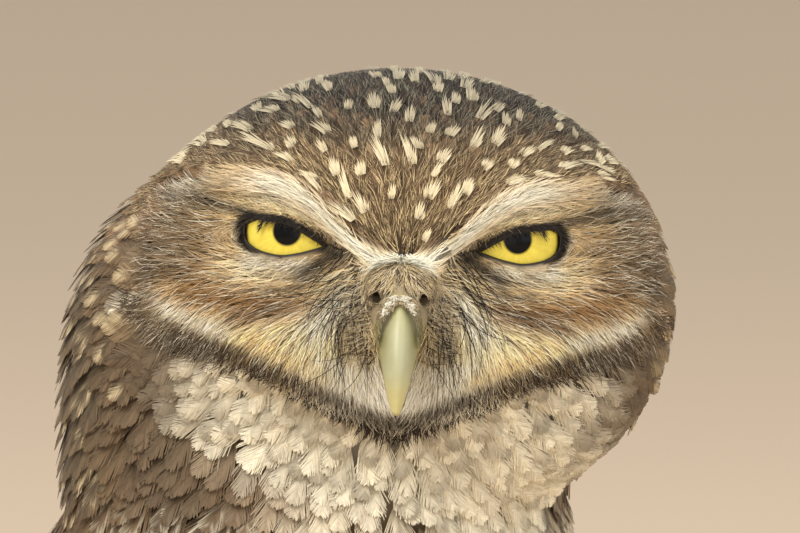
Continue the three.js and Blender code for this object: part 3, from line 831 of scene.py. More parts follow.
def scaled(tree, source, low, high):
    spread = add(tree, "ShaderNodeMapRange")
    spread.inputs["To Min"].default_value = low
    spread.inputs["To Max"].default_value = high
    tree.links.new(source, spread.inputs["Value"])
    return spread.outputs["Result"]


def multiplied(tree, colour, value):
    mix = add(tree, "ShaderNodeVectorMath", operation="MULTIPLY")
    tree.links.new(colour, mix.inputs[0])
    tree.links.new(value, mix.inputs[1])
    return mix.outputs["Vector"]


def bumped(tree, shader, height, strength, distance):
    bump = add(tree, "ShaderNodeBump", Strength=strength, Distance=distance)
    tree.links.new(height, bump.inputs["Height"])
    tree.links.new(bump.outputs["Normal"], shader.inputs["Normal"])


def marked_material(name, roughness=0.75, specular=0.25, fine=2600, coarse=170, low=0.86, high=1.14,
                    bump=0.25, sheen=0.0):
    """Takes its colour from the piece's colour attribute, painted light and shade included, mottled at two
    scales, with a fine bump.
    """
    material, tree, shader = new_material(name, roughness, specular)
    marks = add(tree, "ShaderNodeVertexColor", layer_name="markings_light_and_shade")
    small = mottle(tree, fine, 2.0)
    large = mottle(tree, coarse, 3.0)
    colour = multiplied(tree, marks.outputs["Color"], scaled(tree, small.outputs["Fac"], low, high))
    colour = multiplied(tree, colour, scaled(tree, large.outputs["Fac"], 0.9, 1.1))
    tree.links.new(colour, shader.inputs["Base Color"])
    tree.links.new(
        scaled(tree, small.outputs["Fac"], roughness - 0.12, roughness + 0.12), shader.inputs["Roughness"]
    )
    bumped(tree, shader, small.outputs["Fac"], bump, 0.0002)
    shader.inputs["Sheen Weight"].default_value = sheen
    materials[name] = material
    return shader


marked_material("brown_feather", sheen=0.08)
marked_material("pale_feather", sheen=0.08)
marked_material("flight_feather", roughness=0.6, coarse=90)
marked_material("lid", roughness=0.55, specular=0.4)
marked_material("cere", roughness=0.5, specular=0.4, fine=1800, bump=0.4)
marked_material("foot_skin", roughness=0.55, specular=0.35, fine=1500, bump=0.5)
marked_material("bill", roughness=0.38, specular=0.5, fine=900, low=0.93, high=1.07, bump=0.12)
marked_material("claw", roughness=0.32, specular=0.5, fine=700, bump=0.15)
eye_shader = marked_material("eye", roughness=0.3, specular=0.1, fine=1500, low=0.92, high=1.08, bump=0.0)
eye_shader.inputs["Coat Weight"].default_value = 0.12
eye_shader.inputs["Coat Roughness"].default_value = 0.03


# Camera

CAMERA_AWAY = 1600
SENSOR_WIDTH = 36
FRAME_WIDTH = 86.8
AIM_UP = 3.66
to_camera = direction(HEAD_YAW, -HEAD_PITCH)
right = unit(np.cross([0, 0, 1], to_camera))
up = np.cross(to_camera, right)
aim = HEAD_CENTRE + AIM_UP * up
camera = linked("camera", bpy.data.cameras.new("camera"))
camera.data.sensor_width = SENSOR_WIDTH
camera.data.lens = SENSOR_WIDTH * CAMERA_AWAY / FRAME_WIDTH
camera.data.clip_start = 0.05
camera.data.clip_end = 60
camera.matrix_world = Matrix.Translation((aim + to_camera * CAMERA_AWAY + SHIFT) * MM) @ Matrix(
    np.stack([right, up, to_camera], 1).tolist()
).to_4x4()
bpy.context.scene.camera = camera


# Skin

SKIN_VOXEL = 0.0013


def marched_ball(centre, field, level, around, rings, reach=140):
    """A closed ball of rays marched out to a level of the field."""
    points = march(field, centre, ball(rings, around)[0], level, reach)
    return points, grid_faces(points)


def build_skin():
    """Balls fused by a voxel remesh and drawn onto the skin's field, with the coat's colour pattern darkened
    as painted shade for the gaps between the feathers.
    """
    parts = [
        marched_ball(HEAD_CENTRE, head_field, -HEAD_COAT, around=96, rings=64, reach=60),
        marched_ball(BODY_CORE, body_field, -BODY_COAT, around=96, rings=96),
    ]
    for _, side in SIDES:
        lump = (mirrored(np.array(THIGH[0], float), side), *THIGH[1:])
        parts.append(marched_ball(
            lump[0], lambda p: lump_field(p, lump), -BODY_COAT, around=48, rings=32, reach=50
        ))
    rough = linked("rough_skin", bare_mesh("rough_skin", *joined(parts)))
    remesh = rough.modifiers.new("even", "REMESH")
    remesh.mode = "VOXEL"
    remesh.voxel_size = SKIN_VOXEL
    made = bpy.data.meshes.new_from_object(rough.evaluated_get(bpy.context.evaluated_depsgraph_get()))
    bpy.data.objects.remove(rough)
    points = np.zeros(len(made.vertices) * 3, np.float32)
    made.vertices.foreach_get("co", points)
    quads = np.zeros(len(made.loops), np.int32)
    made.loops.foreach_get("vertex_index", quads)
    quads = quads.reshape(-1, 4)
    points = project(skin_field, points.reshape(-1, 3).astype(float) * METRE - SHIFT, 0.0, 4)
    finish_mesh(
        "skin", points, quads, "brown_feather", coat_colour(points) * SKIN_PAINTED_SHADE, unwrap_body(points),
        "head", "neck", "torso", "thigh_left", "thigh_right",
    )
    return points[quads]


corners = build_skin()
face_area = 0.5 * np.linalg.norm(
    np.cross(corners[:, 2] - corners[:, 0], corners[:, 3] - corners[:, 1]), axis=1
)
outer_middles = project(face_field, corners.mean(1), 0.0, 2)

TRIES = 5  # places tried for each square of the spacing


def scatter(region, spacing, seed, field=face_field):
    """Places spread evenly over a region of the coat, about a spacing apart."""
    rng = np.random.default_rng(seed)
    ids = np.flatnonzero(region(outer_middles))
    area = face_area[ids]
    count = int(TRIES * area.sum() / spacing ** 2)
    pick = rng.choice(ids, count, p=area / area.sum())
    u, v = rng.random(count)[:, None], rng.random(count)[:, None]
    c = corners[pick]
    p = lerp(lerp(c[:, 0], c[:, 1], u), lerp(c[:, 3], c[:, 2], u), v)
    p = project(field, p, 0.0, 2)
    p = p[region(p)]
    tree = nearest_tree(p)
    alive = np.ones(len(p), bool)
    for i in range(len(p)):
        if alive[i]:
            for _, j, _ in tree.find_range(p[i], spacing * 0.8):
                if j != i:
                    alive[j] = False
    return p[alive]


# Regions of the head, in its own frame

def on_head(p):
    return head_field(p) < body_field(p) + 0.5


def head_parts(p):
    q = to_head(p)
    return np.abs(q[..., 0]), q[..., 1], q[..., 2]


def is_front(x, y):
    return (y < -1) & (x < 27)


def face_part(test):
    """A region of the front of the head, by a test of its places as seen from the front."""
    def region(p):
        x, y, z = head_parts(p)
        return on_head(p) & is_front(x, y) & test(x, z)
    return region


def over_brow(x, z):
    return z - brow_line(np.minimum(x, 24))


def crown_region(p):
    x, y, z = head_parts(p)
    return on_head(p) & np.where(is_front(x, y), over_brow(x, z) > 0.75 * brow_half(x), z > 9)


def nape_region(p):
    x, y, z = head_parts(p)
    return on_head(p) & ~is_front(x, y) & (z <= 10.5)


def collar_region(p):
    x, y, z = head_parts(p)
    below = collar_line(x) - z
    return on_head(p) & (y < 2) & (x < 30) & (below > -0.2) & (below < 2.6)


def bill_edge(z):
    """Half width of the bill that shows between the feathers, at a height."""
    heights = [-12.6, -12.2, -9, -6, -4, -2.6, -1.5, -0.4, 0.5, 0.9]
    return np.interp(z, heights, [0, 0.5, 1.3, 1.85, 2.4, 2.2, 1.8, 1.3, 0.8, 0])


def in_bill(x, z, grow):
    return x < bill_edge(z) + grow


def nostril_gap(x, z):
    """Distance from a nostril in its own half sizes: an upright oval that leans out at its top."""
    return np.hypot((x - NOSTRIL_X - 0.3 * (z - NOSTRIL_Z)) / 0.55, (z - NOSTRIL_Z) / 0.95)


def clear_nostrils(lines):
    x, _, z = head_parts(lines)
    return ~(nostril_gap(x, z) < 0.7).any(1)


def clear_face(lines):
    """Which strands keep out of the eyes' openings and the nostrils and off the bill."""
    x, _, z = head_parts(lines)
    blocked = (lid_gap(x, z) < -0.15) | (in_bill(x, z, -0.25) & (z < 1.6))
    return clear_nostrils(lines) & ~blocked.any(1)


brow_region = face_part(lambda x, z: (np.abs(z - brow_line(x)) < 0.85 * brow_half(x)) & (x < 20))
throat_region = face_part(lambda x, z: collar_line(x) - z > 1.7)
bristle_region = face_part(lambda x, z: segment_distance(x, z, (6.2, 4.0), (4.0, -3.0)) < 1.8)
bridge_region = face_part(lambda x, z: (x < 3.6) & (z > 1.2) & (z < 5.2))
fuzz_region = face_part(lambda x, z: (x < 5.4) & (z < 3.6) & (z > -7) & ~in_bill(x, z, 0.2))
hackle_region = face_part(
    lambda x, z: (z - brow_line(x) > 0.8 * brow_half(x)) & (z - brow_line(x) < 6.0) & (x < 14)
)
lid_down_region = face_part(
    lambda x, z: (lid_gap(x, z) > 0.3) & (lid_gap(x, z) < 1.9) & (z < brow_line(x) - 0.6)
)
face_region = face_part(
    lambda x, z: (z < brow_line(x) - 0.4 * brow_half(x)) & (z > collar_line(x) - 0.2)
    & (lid_gap(x, z) >= 0.12) & ~in_bill(x, z, 0.2)
)


# Paint for feathers and strands

def spot(s, x, s_at, x_at, s_size, x_size):
    return smooth(1 - ((s - s_at) / s_size) ** 2 - ((x - x_at) / x_size) ** 2, 0.0, 0.35)


def over_all(colour, s):
    """One colour for each feather or strand, or for all, at every point of them."""
    return np.broadcast_to(colour, s.shape + (3,))


def drawn(draw, k):
    """A random number for each strand, to compare or mix colours by."""
    return draw[:, k][:, None, None]


def varied(colour, low, step, share):
    return colour * (low + step * share)[..., None]


def paint_crown(root, s, x, draw):
    q = to_head(root)
    low = 1 - smooth(q[:, 2] - brow_line(q[:, 0]), 1.0, 7.0)
    base = blend(crown_colour(q), HUE["crown_hackle"], 0.5 * low)
    tan = (draw[:, 2] < 0.22) * (1 - smooth(q[:, 2], 10, 16))
    base = blend(base, HUE["brow_buff"] * 0.7, 0.25 * tan)[:, None, :]
    c = varied(over_all(base, s), 0.58, 0.48, draw[:, :1])
    return blend(c, c * 0.6, bell(x, 0.08))


def paint_barb(place, s, x, draw):
    q = to_head(place[:, :1])
    c = over_all(crown_colour(q), s)
    top = smooth(q[..., 2], 12, 20)[..., None]
    pale = lerp(HUE["brow_buff"] * 0.72, HUE["grey"] * 0.6, top)
    pick = drawn(draw, 0)
    c = np.where(pick < 0.42, c * 0.4, np.where(pick > 0.66, pale, c * 0.9))
    x, z = q[..., 0], q[..., 2]
    patches = np.sin(1.9 * x + 1.6 * np.sin(1.3 * z)) * np.sin(2.1 * z + 1.4 * np.sin(1.7 * x))
    return varied(c, 1, 0.34, patches)


def paint_spot(place, s, x, draw):
    grey = 0.75 * smooth(to_head(place[:, :1])[..., 2], 12, 21)[..., None]
    # Darker towards the root: painted shade under the barbs over it.
    return varied(lerp(HUE["crown_spot"], HUE["grey"], grey), 0.76, 0.2, s)


def paint_hackle(place, s, x, draw):
    q = to_head(place[:, :1])
    low = 1 - smooth(q[..., 2] - brow_line(q[..., 0]), 0.5, 5.0)
    c = over_all(lerp(HUE["crown"], HUE["crown_hackle"], low[..., None]), s)
    pick = drawn(draw, 0)
    return np.where(pick < 0.28, HUE["brow_buff"] * 0.85, np.where(pick > 0.58, c * 0.4, c))


def paint_throat(root, s, x, draw):
    side = smooth(np.abs(to_head(root)[:, 0]), 15, 25)[:, None, None]
    c = varied(over_all(lerp(HUE["belly"] * 0.9, HUE["side"], side), s), 0.75, 0.3, draw[:, :1])
    return blend(c, HUE["side"], 0.5 * (draw[:, 1:2] < 0.3) * smooth(s, 0.5, 0.9))


def coat_base(root, s, draw, low=0.85, step=0.3):
    """The coat's colour at the root of each feather, each a little lighter or darker."""
    return varied(over_all(coat_colour(root)[:, None, :], s), low, step, draw[:, :1])


def paint_nape(root, s, x, draw):
    c = coat_base(root, s, draw)
    c = blend(c, c * 0.62, bell(x, 0.1))
    c = blend(c, c * 0.75, smooth(np.abs(x), 0.7, 1.0))
    mark = spot(s, x, 0.82, 0.0, 0.16, 0.6) * is_spotted(draw)
    return blend(c, HUE["nape_spot"], 0.75 * mark)


def paint_front(root, s, x, draw):
    z = root[:, 2][:, None]
    c = coat_base(root, s, draw, 0.9, 0.2)
    low = 1 - smooth(z, 122, 138)
    bars = bell(s - 0.86, 0.08) + bell(s - 0.55, 0.1) + 0.8 * bell(s - 0.25, 0.09)
    c = blend(c, HUE["bar"] * 0.62, bars * low * (0.25 + 0.75 * smooth(z, 74, 88)))
    # Low on the body each feather darkens at its edges and tip: painted shade where the feathers overlap.
    low_edge = np.maximum(smooth(np.abs(x), 0.65, 1.0), smooth(s, 0.86, 1.0))
    c = blend(c, c * 0.62, (1 - smooth(z, 80, 100)) * low_edge)
    high = smooth(z, 120, 132) * (1 - smooth(z, 163, 170))
    spots = spot(s, np.abs(x), 0.84, 0.42, 0.12, 0.3) + spot(s, np.abs(x), 0.5, 0.45, 0.09, 0.26)
    c = blend(c, c * 0.8, 0.8 * high)
    c = blend(c, HUE["belly"], spots * high)
    return blend(c, c * 0.7, 0.6 * bell(x, 0.06))


def paint_back(root, s, x, draw):
    c = coat_base(root, s, draw)
    c = blend(c, c * 0.6, bell(x, 0.07))
    c = blend(c, c * 0.8, smooth(np.abs(x), 0.75, 1.0))
    spots = spot(s, np.abs(x), 0.8, 0.45, 0.1, 0.3) + spot(s, np.abs(x), 0.45, 0.45, 0.08, 0.3)
    high = smooth(root[:, 2], 140, 155)[:, None]
    pale = lerp(HUE["crown_spot"], HUE["nape_spot"], high[..., None])
    return lerp(c, pale, (spots * (draw[:, 1:2] < lerp(0.6, 0.35, high)))[..., None])


def paint_strand(place, s, x, draw):
    q = to_head(place)
    c = lerp(head_colour(q), head_colour(q[:, :1]), 0.15)
    away = smooth(lid_gap(np.abs(q[..., 0]), q[..., 2]), 0.6, 1.4)
    streak = lerp(fine_streaks(q), fine_streaks(q[:, :1]), 0.5)
    chin = smooth(-q[..., 2], 5, 8) * (1 - smooth(np.abs(q[..., 0]), 8, 13))
    c = varied(c, 1, 0.5, streak * away * (1 - 0.7 * chin))
    pick = drawn(draw, 0)
    dark = (pick < 0.16) & (chin[:, :1] < 0.5)[..., None]
    c = np.where(dark, c * 0.36, np.where(pick > 0.84, lerp(c, HUE["white"], 0.5 * away[..., None]), c))
    # Darker towards the root: painted shade under the strands that lie over it.
    return varied(c, 0.86, 0.26, s)


def paint_brow(place, s, x, draw):
    q = to_head(place)
    x = np.abs(q[:, :1, 0])
    # Darker towards the root, as painted shade, and lighter in the V over the bill, as painted light against
    # the shade there.
    c = varied(head_colour(q), 0.93 + 0.08 * s, 0.12, 1 - smooth(x, 4, 9))
    dark = (draw[:, :1] < 0.03 + 0.3 * smooth(x, 9, 19))[..., None]
    return np.where(dark, c * 0.6, c)


def paint_bristle(place, s, x, draw):
    return varied(over_all(HUE["black"], s), 0.7, 0.6, draw[:, :1])


def paint_fuzz(place, s, x, draw):
    q = to_head(place[:, :1])
    side, z = np.abs(q[..., 0]), q[..., 2]
    c = over_all(lerp(HUE["lore"], HUE["brow_buff"] * 0.8, smooth(z, 0.8, 2.0)[..., None]), s)
    middle = bell(side, 1.9) * bell(z - 1.2, 0.8)
    c = lerp(c, HUE["white"], (0.5 * draw[:, 1:2] ** 2 + 0.3 * middle)[..., None])
    c = blend(c, HUE["patch"], 0.6 * bell(segment_distance(side, z, *PATCH_LINE), 1.4))
    # Painted shade round the nostrils.
    c = blend(c, HUE["dark"], 0.7 * bell(nostril_gap(side, z), 1.7))
    return np.where(drawn(draw, 0) < 0.34, HUE["dark"] * 1.2, c)


def paint_collar(place, s, x, draw):
    side = smooth(np.abs(to_head(place[:, :1])[..., 0]), 14, 28)[..., None]
    return varied(over_all(lerp(HUE["collar"], HUE["collar_brown"], side), s), 0.75, 0.5, draw[:, :1])


def paint_lid_down(place, s, x, draw):
    c = varied(head_colour(to_head(place)), 0.75, 0.6, draw[:, :1])
    return np.where(drawn(draw, 1) < 0.3, c * 0.45, c)


def paint_lash(place, s, x, draw):
    return over_all(np.where(drawn(draw, 0) < 0.04, HUE["lore"] * 0.5, HUE["black"]), s)


def paint_bill_down(place, s, x, draw):
    q = to_head(place[:, :1])
    low = smooth(-q[..., 2], 0.5, 2.5)[..., None]
    c = over_all(lerp(HUE["lore"], linear((150, 140, 96)), low), s)
    c = varied(c, 0.7, 0.55, draw[:, 1:2])
    # Painted shade round the nostrils.
    c = blend(c, HUE["dark"], 0.6 * bell(nostril_gap(np.abs(q[..., 0]), q[..., 2]), 1.7))
    return np.where(drawn(draw, 0) < 0.22, c * 0.4, c)


def paint_crust(place, s, x, draw):
    c = over_all(lerp(HUE["white"], HUE["lore"], 0.45 * drawn(draw, 2)), s)
    return varied(c, 0.75, 0.35, draw[:, 1:2])


def paint_bridge(place, s, x, draw):
    z = to_head(place)[..., 2]
    c = lerp(HUE["brow_buff"] * 0.75, HUE["brow"], smooth(z, 2.2, 3.4)[..., None])
    c = varied(c, 0.8, 0.3, draw[:, 1:2])
    return np.where((drawn(draw, 0) < 0.3) & (z < 2.8)[..., None], c * 0.45, c)


def paint_under_tail(root, s, x, draw):
    c = varied(over_all(HUE["belly"], s), 0.75, 0.3, draw[:, :1])
    c = blend(c, HUE["bar"] * 0.8, 0.6 * bell(s - 0.6, 0.1))
    return blend(c, c * 0.6, smooth(np.abs(x), 0.6, 1.0))


# Head coat

def barb_veers(places, roots, way, angle):
    """Angles that lay barbs out to both sides of the feather that each one grows on."""
    tree = nearest_tree(roots)
    owners = roots[[tree.find(at)[1] for at in places]]
    over = np.cross(unit(slope(face_field, places)), way(places))
    across = ((places - owners) * unit(over)).sum(-1)
    return angle * np.clip(across / 0.35, -1, 1)


def wedge_coat(name, roots, way, length, half, seed, levels, per=15):
    """Pale wedges on the tips of feathers: each a spray of short strands, with a ragged end."""
    rng = np.random.default_rng(seed)
    wedges = len(roots)
    sizes = rng.uniform(0, 1, wedges) ** 1.5
    halves = half * lerp(0.55, 1.25, rng.random(wedges))
    across = np.tile(np.linspace(-1, 1, per), wedges)
    over = unit(np.cross(unit(slope(face_field, roots)), way(roots)))
    starts = np.repeat(roots, per, 0) + np.repeat(over * halves[:, None], per, 0) * (across * 0.5)[:, None]
    lengths = np.repeat(lerp(0.6, 2.0, sizes) * length, per) * rng.uniform(0.7, 1.1, wedges * per)
    bulge = rng.uniform(-0.5, 0.5, wedges).repeat(per)
    lengths = lengths * (1 - 0.45 * np.abs(across - bulge) ** 1.5)
    fans = across * np.repeat(halves, per) * 0.4 / np.maximum(lengths, 0.9)
    veers = np.repeat(rng.normal(0, 0.2, wedges), per) + fans
    strand_coat(
        name, starts, way, lengths, 0.17, levels, paint_spot, "pale_feather", seed, spread=0.04,
        stations=3, tones=0.08, lines_tone=0.14, roll=0.2, taper=0.4, veers=veers,
    )


crown_roots = scatter(crown_region, 1.62, 11)
feather_coat(
    "crown", crown_roots, face_field, way_crown, 5.8, 1.5, 20, (-1.4, 0.2), paint_crown, "brown_feather",
    21, spread=0.16, unwrap=unwrap_head, tones=0.2, sweep=0.42, ragged=0.12, lines_tone=0.5,
)
barb_roots = scatter(lambda p: crown_region(p) & (to_head(p)[..., 1] < 6), 0.205, 20)
strand_coat(
    "crown_barbs", barb_roots, way_crown, 1.45, 0.09, (-0.2, 0.36), paint_barb, "brown_feather", 29,
    spread=0.1, stations=3, tones=0.15, lines_tone=0.3,
    veers=barb_veers(barb_roots, crown_roots, way_crown, 0.42),
)


def spot_region(p):
    x, _, z = head_parts(p)
    return crown_region(p) & (over_brow(x, z) > 1.9)


SPOTS_KEPT = 0.85
spot_roots = scatter(spot_region, 2.6, 17)
spot_roots = spot_roots[np.random.default_rng(19).random(len(spot_roots)) < SPOTS_KEPT]
wedge_coat("crown_spots", spot_roots, way_crown, 2.6, 0.74, 27, (0.12, 0.66))
strand_coat(
    "hackles", scatter(hackle_region, 0.27, 18), way_crown, 2.0, 0.13, (-0.7, 0.5), paint_hackle,
    "brown_feather", 28, spread=0.14, stations=3, tones=0.2, lines_tone=0.4,
)
feather_coat(
    "nape", scatter(nape_region, 2.0, 12), face_field, way_crown, 7.0, 1.9, 26, (-1.5, 0.3), paint_nape,
    "brown_feather", 22, spread=0.16, unwrap=unwrap_head, tones=0.2, sweep=0.4, lines_tone=0.3,
    raise_spots=0.2,
)
strand_coat(
    "face", scatter(face_region, 0.235, 13), way_face, 4.2, 0.12, (-1.1, 0.3), paint_strand,
    "brown_feather", 23, spread=0.13, tones=0.16, curl=0.3, keep=clear_face, stations=5,
)
strand_coat(
    "brow", scatter(brow_region, 0.18, 14), way_brow, 3.0, 0.15, (-0.4, 0.9), paint_brow, "pale_feather",
    24, spread=0.16, tones=0.08, lines_tone=0.16, keep=clear_face,
)
strand_coat(
    "collar", scatter(collar_region, 0.3, 15), way_chin, 1.9, 0.14, (-0.9, 0.35), paint_collar,
    "brown_feather", 25, spread=0.35, curl=0.3,
)
feather_coat(
    "throat", scatter(throat_region, 1.5, 16), face_field, way_chin, 4.8, 1.6, 22, (-1.4, 0.1),
    paint_throat, "pale_feather", 26, spread=0.22, tilt=0.03, unwrap=unwrap_head, sweep=0.6, ragged=0.14,
    lines_tone=0.12, tones=0.1,
)


# Body coat: bands between two heights, on the front or the back

BODY_LOW, BREAST_LOW, BREAST_HIGH, THROAT_LOW = 54, 112, 142, 141
NAPE_LOW, MIDDLE_LOW, MIDDLE_HIGH, MIDDLE_HALF = 150, 88, 152, 8


def body_band(is_breast, low, high, half=np.inf):
    def region(p):
        faces_ahead = unit(slope(body_field, p))[..., 1] < 0.05
        z = p[..., 2]
        inside = (z > low) & (z <= high) & (np.abs(p[..., 0]) < half)
        return ~on_head(p) & (z > BODY_LOW) & (faces_ahead == is_breast) & inside
    return region


def body_coat(name, region, spacing, length, half, barbs, seed, tips=0.4, **more):
    is_breast = region[0]
    paint, slot = (paint_front, "pale_feather") if is_breast else (paint_back, "brown_feather")
    roots = scatter(body_band(*region), spacing, seed, coat_field)
    feather_coat(
        name, roots, coat_field, way_body, length, half, barbs, (-2.0, tips), paint, slot, seed + 10,
        tilt=0.04, **more,
    )


body_coat("throat_low", (True, THROAT_LOW, np.inf), 1.85, 6.0, 1.95, 22, 30, spread=0.18, sweep=0.55,
          ragged=0.12, lines_tone=0.12, tones=0.1)
body_coat("breast", (True, BREAST_LOW, BREAST_HIGH), 2.75, 9.5, 2.8, 30, 31, spread=0.14, sweep=0.4,
          ragged=0.08, lines_tone=0.12)
body_coat("belly", (True, BODY_LOW, BREAST_LOW), 3.4, 12, 3.4, 32, 33, spread=0.14, sweep=0.4,
          ragged=0.08, lines_tone=0.12)
body_coat("nape_low", (False, NAPE_LOW, np.inf), 2.2, 7.5, 2.0, 24, 34, spread=0.16, sweep=0.4,
          ragged=0.08, lines_tone=0.25, tones=0.16)
body_coat("mantle_middle", (False, MIDDLE_LOW, MIDDLE_HIGH, MIDDLE_HALF), 3.0, 13, 3.6, 30, 35,
          spread=0.14, sweep=0.4, ragged=0.08, lines_tone=0.2, tones=0.14, tips=3.4)
body_coat("mantle", (False, BODY_LOW, NAPE_LOW), 3.6, 11.5, 3.6, 30, 32, spread=0.12, sweep=0.35,
          ragged=0.06, lines_tone=0.16)


# Eyes and lids

GAZE = unit(np.array([1.5, -6.4, 0.2]))
PUPIL_RADIUS, IRIS_RADIUS = 1.54, 4.75
LID_PROFILE = [  # from the edge of the opening: how far out, and how far over the eyeball
    (0.02, -0.1), (-0.04, 0.1), (0.03, 0.28), (0.16, 0.4), (0.34, 0.42), (0.6, 0.32), (0.9, 0.18),
    (1.3, 0.0), (1.9, -0.3), (2.6, -0.6),
]


def build_iris(word, side):
    """The eyeball with its iris and pupil, drawn in where the lids and the coat cover it."""
    ways, theta, phi = ball(rings=72, around=96)
    out = mirrored(GAZE, side)
    sideways = unit(np.cross([0, 0, 1], out))
    d = ways @ np.array([sideways, np.cross(out, sideways), out])
    r = np.where(theta > math.pi / 2, EYE_RADIUS, EYE_RADIUS * np.sin(theta)) + 0 * phi
    q = mirrored(EYE, side) + EYE_RADIUS * d
    outside = np.where(q[..., 1] < EYE[1], lid_gap(np.abs(q[..., 0]), q[..., 2]), 9.0)
    q = q - (1.6 * smooth(outside, 0.7, 2.4))[..., None] * d
    swirl = 0.5 + 0.5 * np.sin(phi * 23 + 3 * np.sin(phi * 5) + 0 * theta)
    c = lerp(linear((230, 213, 92)), linear((220, 198, 76)), swirl[..., None] * 0.6)
    c = blend(c, linear((214, 182, 50)), 0.35 * bell(r - PUPIL_RADIUS, 0.22))
    c = blend(c, linear((190, 160, 40)), 0.6 * smooth(r, IRIS_RADIUS - 0.3, IRIS_RADIUS))
    c = blend(c, linear((6, 7, 9)), 1 - smooth(r, PUPIL_RADIUS - 0.07, PUPIL_RADIUS + 0.07))
    c = blend(c, linear((32, 26, 20)), smooth(r, IRIS_RADIUS - 0.05, IRIS_RADIUS + 0.25))
    uv = 0.5 + 0.4 * d[..., ::2]
    finish_mesh("iris_" + word, from_head(q), grid_faces(q), "eye", c, uv, "eye_" + word)


def build_lids(word, side):
    """The bare rim round the opening, rolled over at its edge and running back over the eyeball."""
    edge = spline(LID_OPENING + LID_OPENING[:1], 121)[:-1]
    ahead = np.roll(edge, -1, 0) - np.roll(edge, 1, 0)
    normal = unit(np.stack([ahead[:, 1], -ahead[:, 0]], -1))
    normal[((edge - edge.mean(0)) * normal).sum(-1) < 0] *= -1
    rows, tones = [], []
    for out, over in LID_PROFILE:
        at = edge + normal * out
        away = at - EYE[::2]
        far = np.hypot(*away.T)
        radius = EYE_RADIUS + over
        flat = np.minimum(far, radius * 0.98)
        away = away * (flat / np.maximum(far, 1e-6))[:, None]
        y = EYE[1] - np.sqrt(radius ** 2 - flat ** 2)
        rows.append(np.stack([side * (EYE[0] + away[:, 0]), y, EYE[2] + away[:, 1]], -1))
        tones.append(face_colour(np.stack([at[:, 0], y, at[:, 1]], -1)))
    points = from_head(np.array(rows))
    finish_mesh(
        "lids_" + word, points, grid_faces(points), "lid", np.array(tones), unwrap_head(points),
        "lid_upper_" + word, "lid_lower_" + word,
    )


for word, side in SIDES:
    build_iris(word, side)
    build_lids(word, side)


def lash_roots(count, seed):
    """Places in a band along the edge of the upper lid."""
    rng = np.random.default_rng(seed)
    edge = spline(LID_OPENING[:8], 60)
    at = edge[rng.integers(0, 60, count)]
    side = rng.choice([-1.0, 1.0], count)
    rise = rng.uniform(0.35, 1.35, count)
    q = np.stack([side * (at[:, 0] - 0.3 * rise), np.full(count, -21.0), at[:, 1] + rise], -1)
    return project(face_field, from_head(q), 0.0, 4)


strand_coat(
    "lid_down", scatter(lid_down_region, 0.17, 54), way_face, 1.3, 0.1, (-0.3, 0.32), paint_lid_down,
    "brown_feather", 64, spread=0.3, stations=3, tones=0.12, keep=clear_face,
)
strand_coat(
    "lashes", lash_roots(count=520, seed=55), way_lash, 1.0, 0.07, (0.0, 0.3), paint_lash,
    "brown_feather", 65, spread=0.3, tones=0.2,
)


# Bill and cere

LOWER_SLIM = 0.7
BILL_RINGS = 48


def build_bill(name, stations, shade, node, rings, around):
    """Rings from the face to the tip, each flatter at its sides and closed at both ends."""
    a = np.linspace(0, 2 * math.pi, around, endpoint=False)
    ridge = np.cos(a)
    rows = []
    for top_y, top_z, low_y, low_z, half in spline(stations, rings):
        middle = np.array([0, (top_y + low_y) / 2, (top_z + low_z) / 2])
        up_way = np.array([0, top_y - low_y, top_z - low_z]) / 2
        roof = 0.28 + 0.3 * smooth(top_z, -5.0, 1.0)
        x = half * np.sin(a) * (1 - roof * smooth(ridge, -0.3, 0.95))
        rows.append(middle + up_way * ridge[:, None] + np.stack([x, 0 * a, 0 * a], -1))
    ends = [np.repeat(row.mean(0)[None], around, 0) for row in (rows[0], rows[-1])]
    q = np.array([ends[0], *rows, ends[1]])
    finish_mesh(name, from_head(q), grid_faces(q), "bill", shade(q), grid_uv(q, across=0.1), node)


def shade_upper(q):
    x, z = np.abs(q[..., 0]), q[..., 2]
    c = lerp(linear((180, 177, 132)), linear((172, 171, 136)), smooth(-z, 0, 5)[..., None])
    c = blend(c, linear((190, 181, 126)), smooth(-z, 7, 11))
    # The sides darker and greener: partly the bill's own greener colour, partly painted shade, which leaves
    # the ridge paler as a painted highlight. Next, a painted shadow on each side, part way down.
    c = blend(c, linear((140, 134, 80)), 0.6 * smooth(x, 0.8, 2.2))
    c = blend(c, linear((120, 112, 62)), 0.5 * bell(x - 1.7, 0.8) * bell(z + 4.6, 2.2))
    c = blend(c, linear((160, 118, 52)), 0.7 * bell(x, 0.7) * smooth(z, -0.5, 0.3))
    c = blend(c, HUE["lore"] * 0.7, smooth(x, 1.8, 2.3) * smooth(z, -3.0, -1.8))
    return blend(c, HUE["lore"] * 0.75, smooth(z, 0.5, 0.9))


def shade_lower(q):
    x = np.abs(q[..., 0])
    return blend(linear((196, 186, 128)), linear((150, 140, 92)), 0.5 * smooth(x, 1, 2.4))


def build_cere():
    ways, _, _ = ball(rings=60, around=80)
    d = np.stack([ways[..., 0], -ways[..., 2], ways[..., 1]], -1)
    q = CERE_AT + d * CERE_SHOWN
    x, z = np.abs(q[..., 0]), q[..., 2]
    pit = (1 - smooth(nostril_gap(x, z), 0.5, 1.25)) * (q[..., 1] < CERE_AT[1])
    q = q - d * (1.5 * smooth(pit, 0.3, 1.0))[..., None]
    c = lerp(linear((96, 86, 66)), linear((150, 136, 104)), smooth(z, 0, 3)[..., None])
    # Painted shade in the nostrils' pits.
    c = blend(c, linear((26, 18, 14)), smooth(pit, 0.1, 0.5))
    uv = grid_uv(q, across=0, along=0)
    finish_mesh("cere_skin", from_head(q), grid_faces(q), "cere", c, uv, "cere")


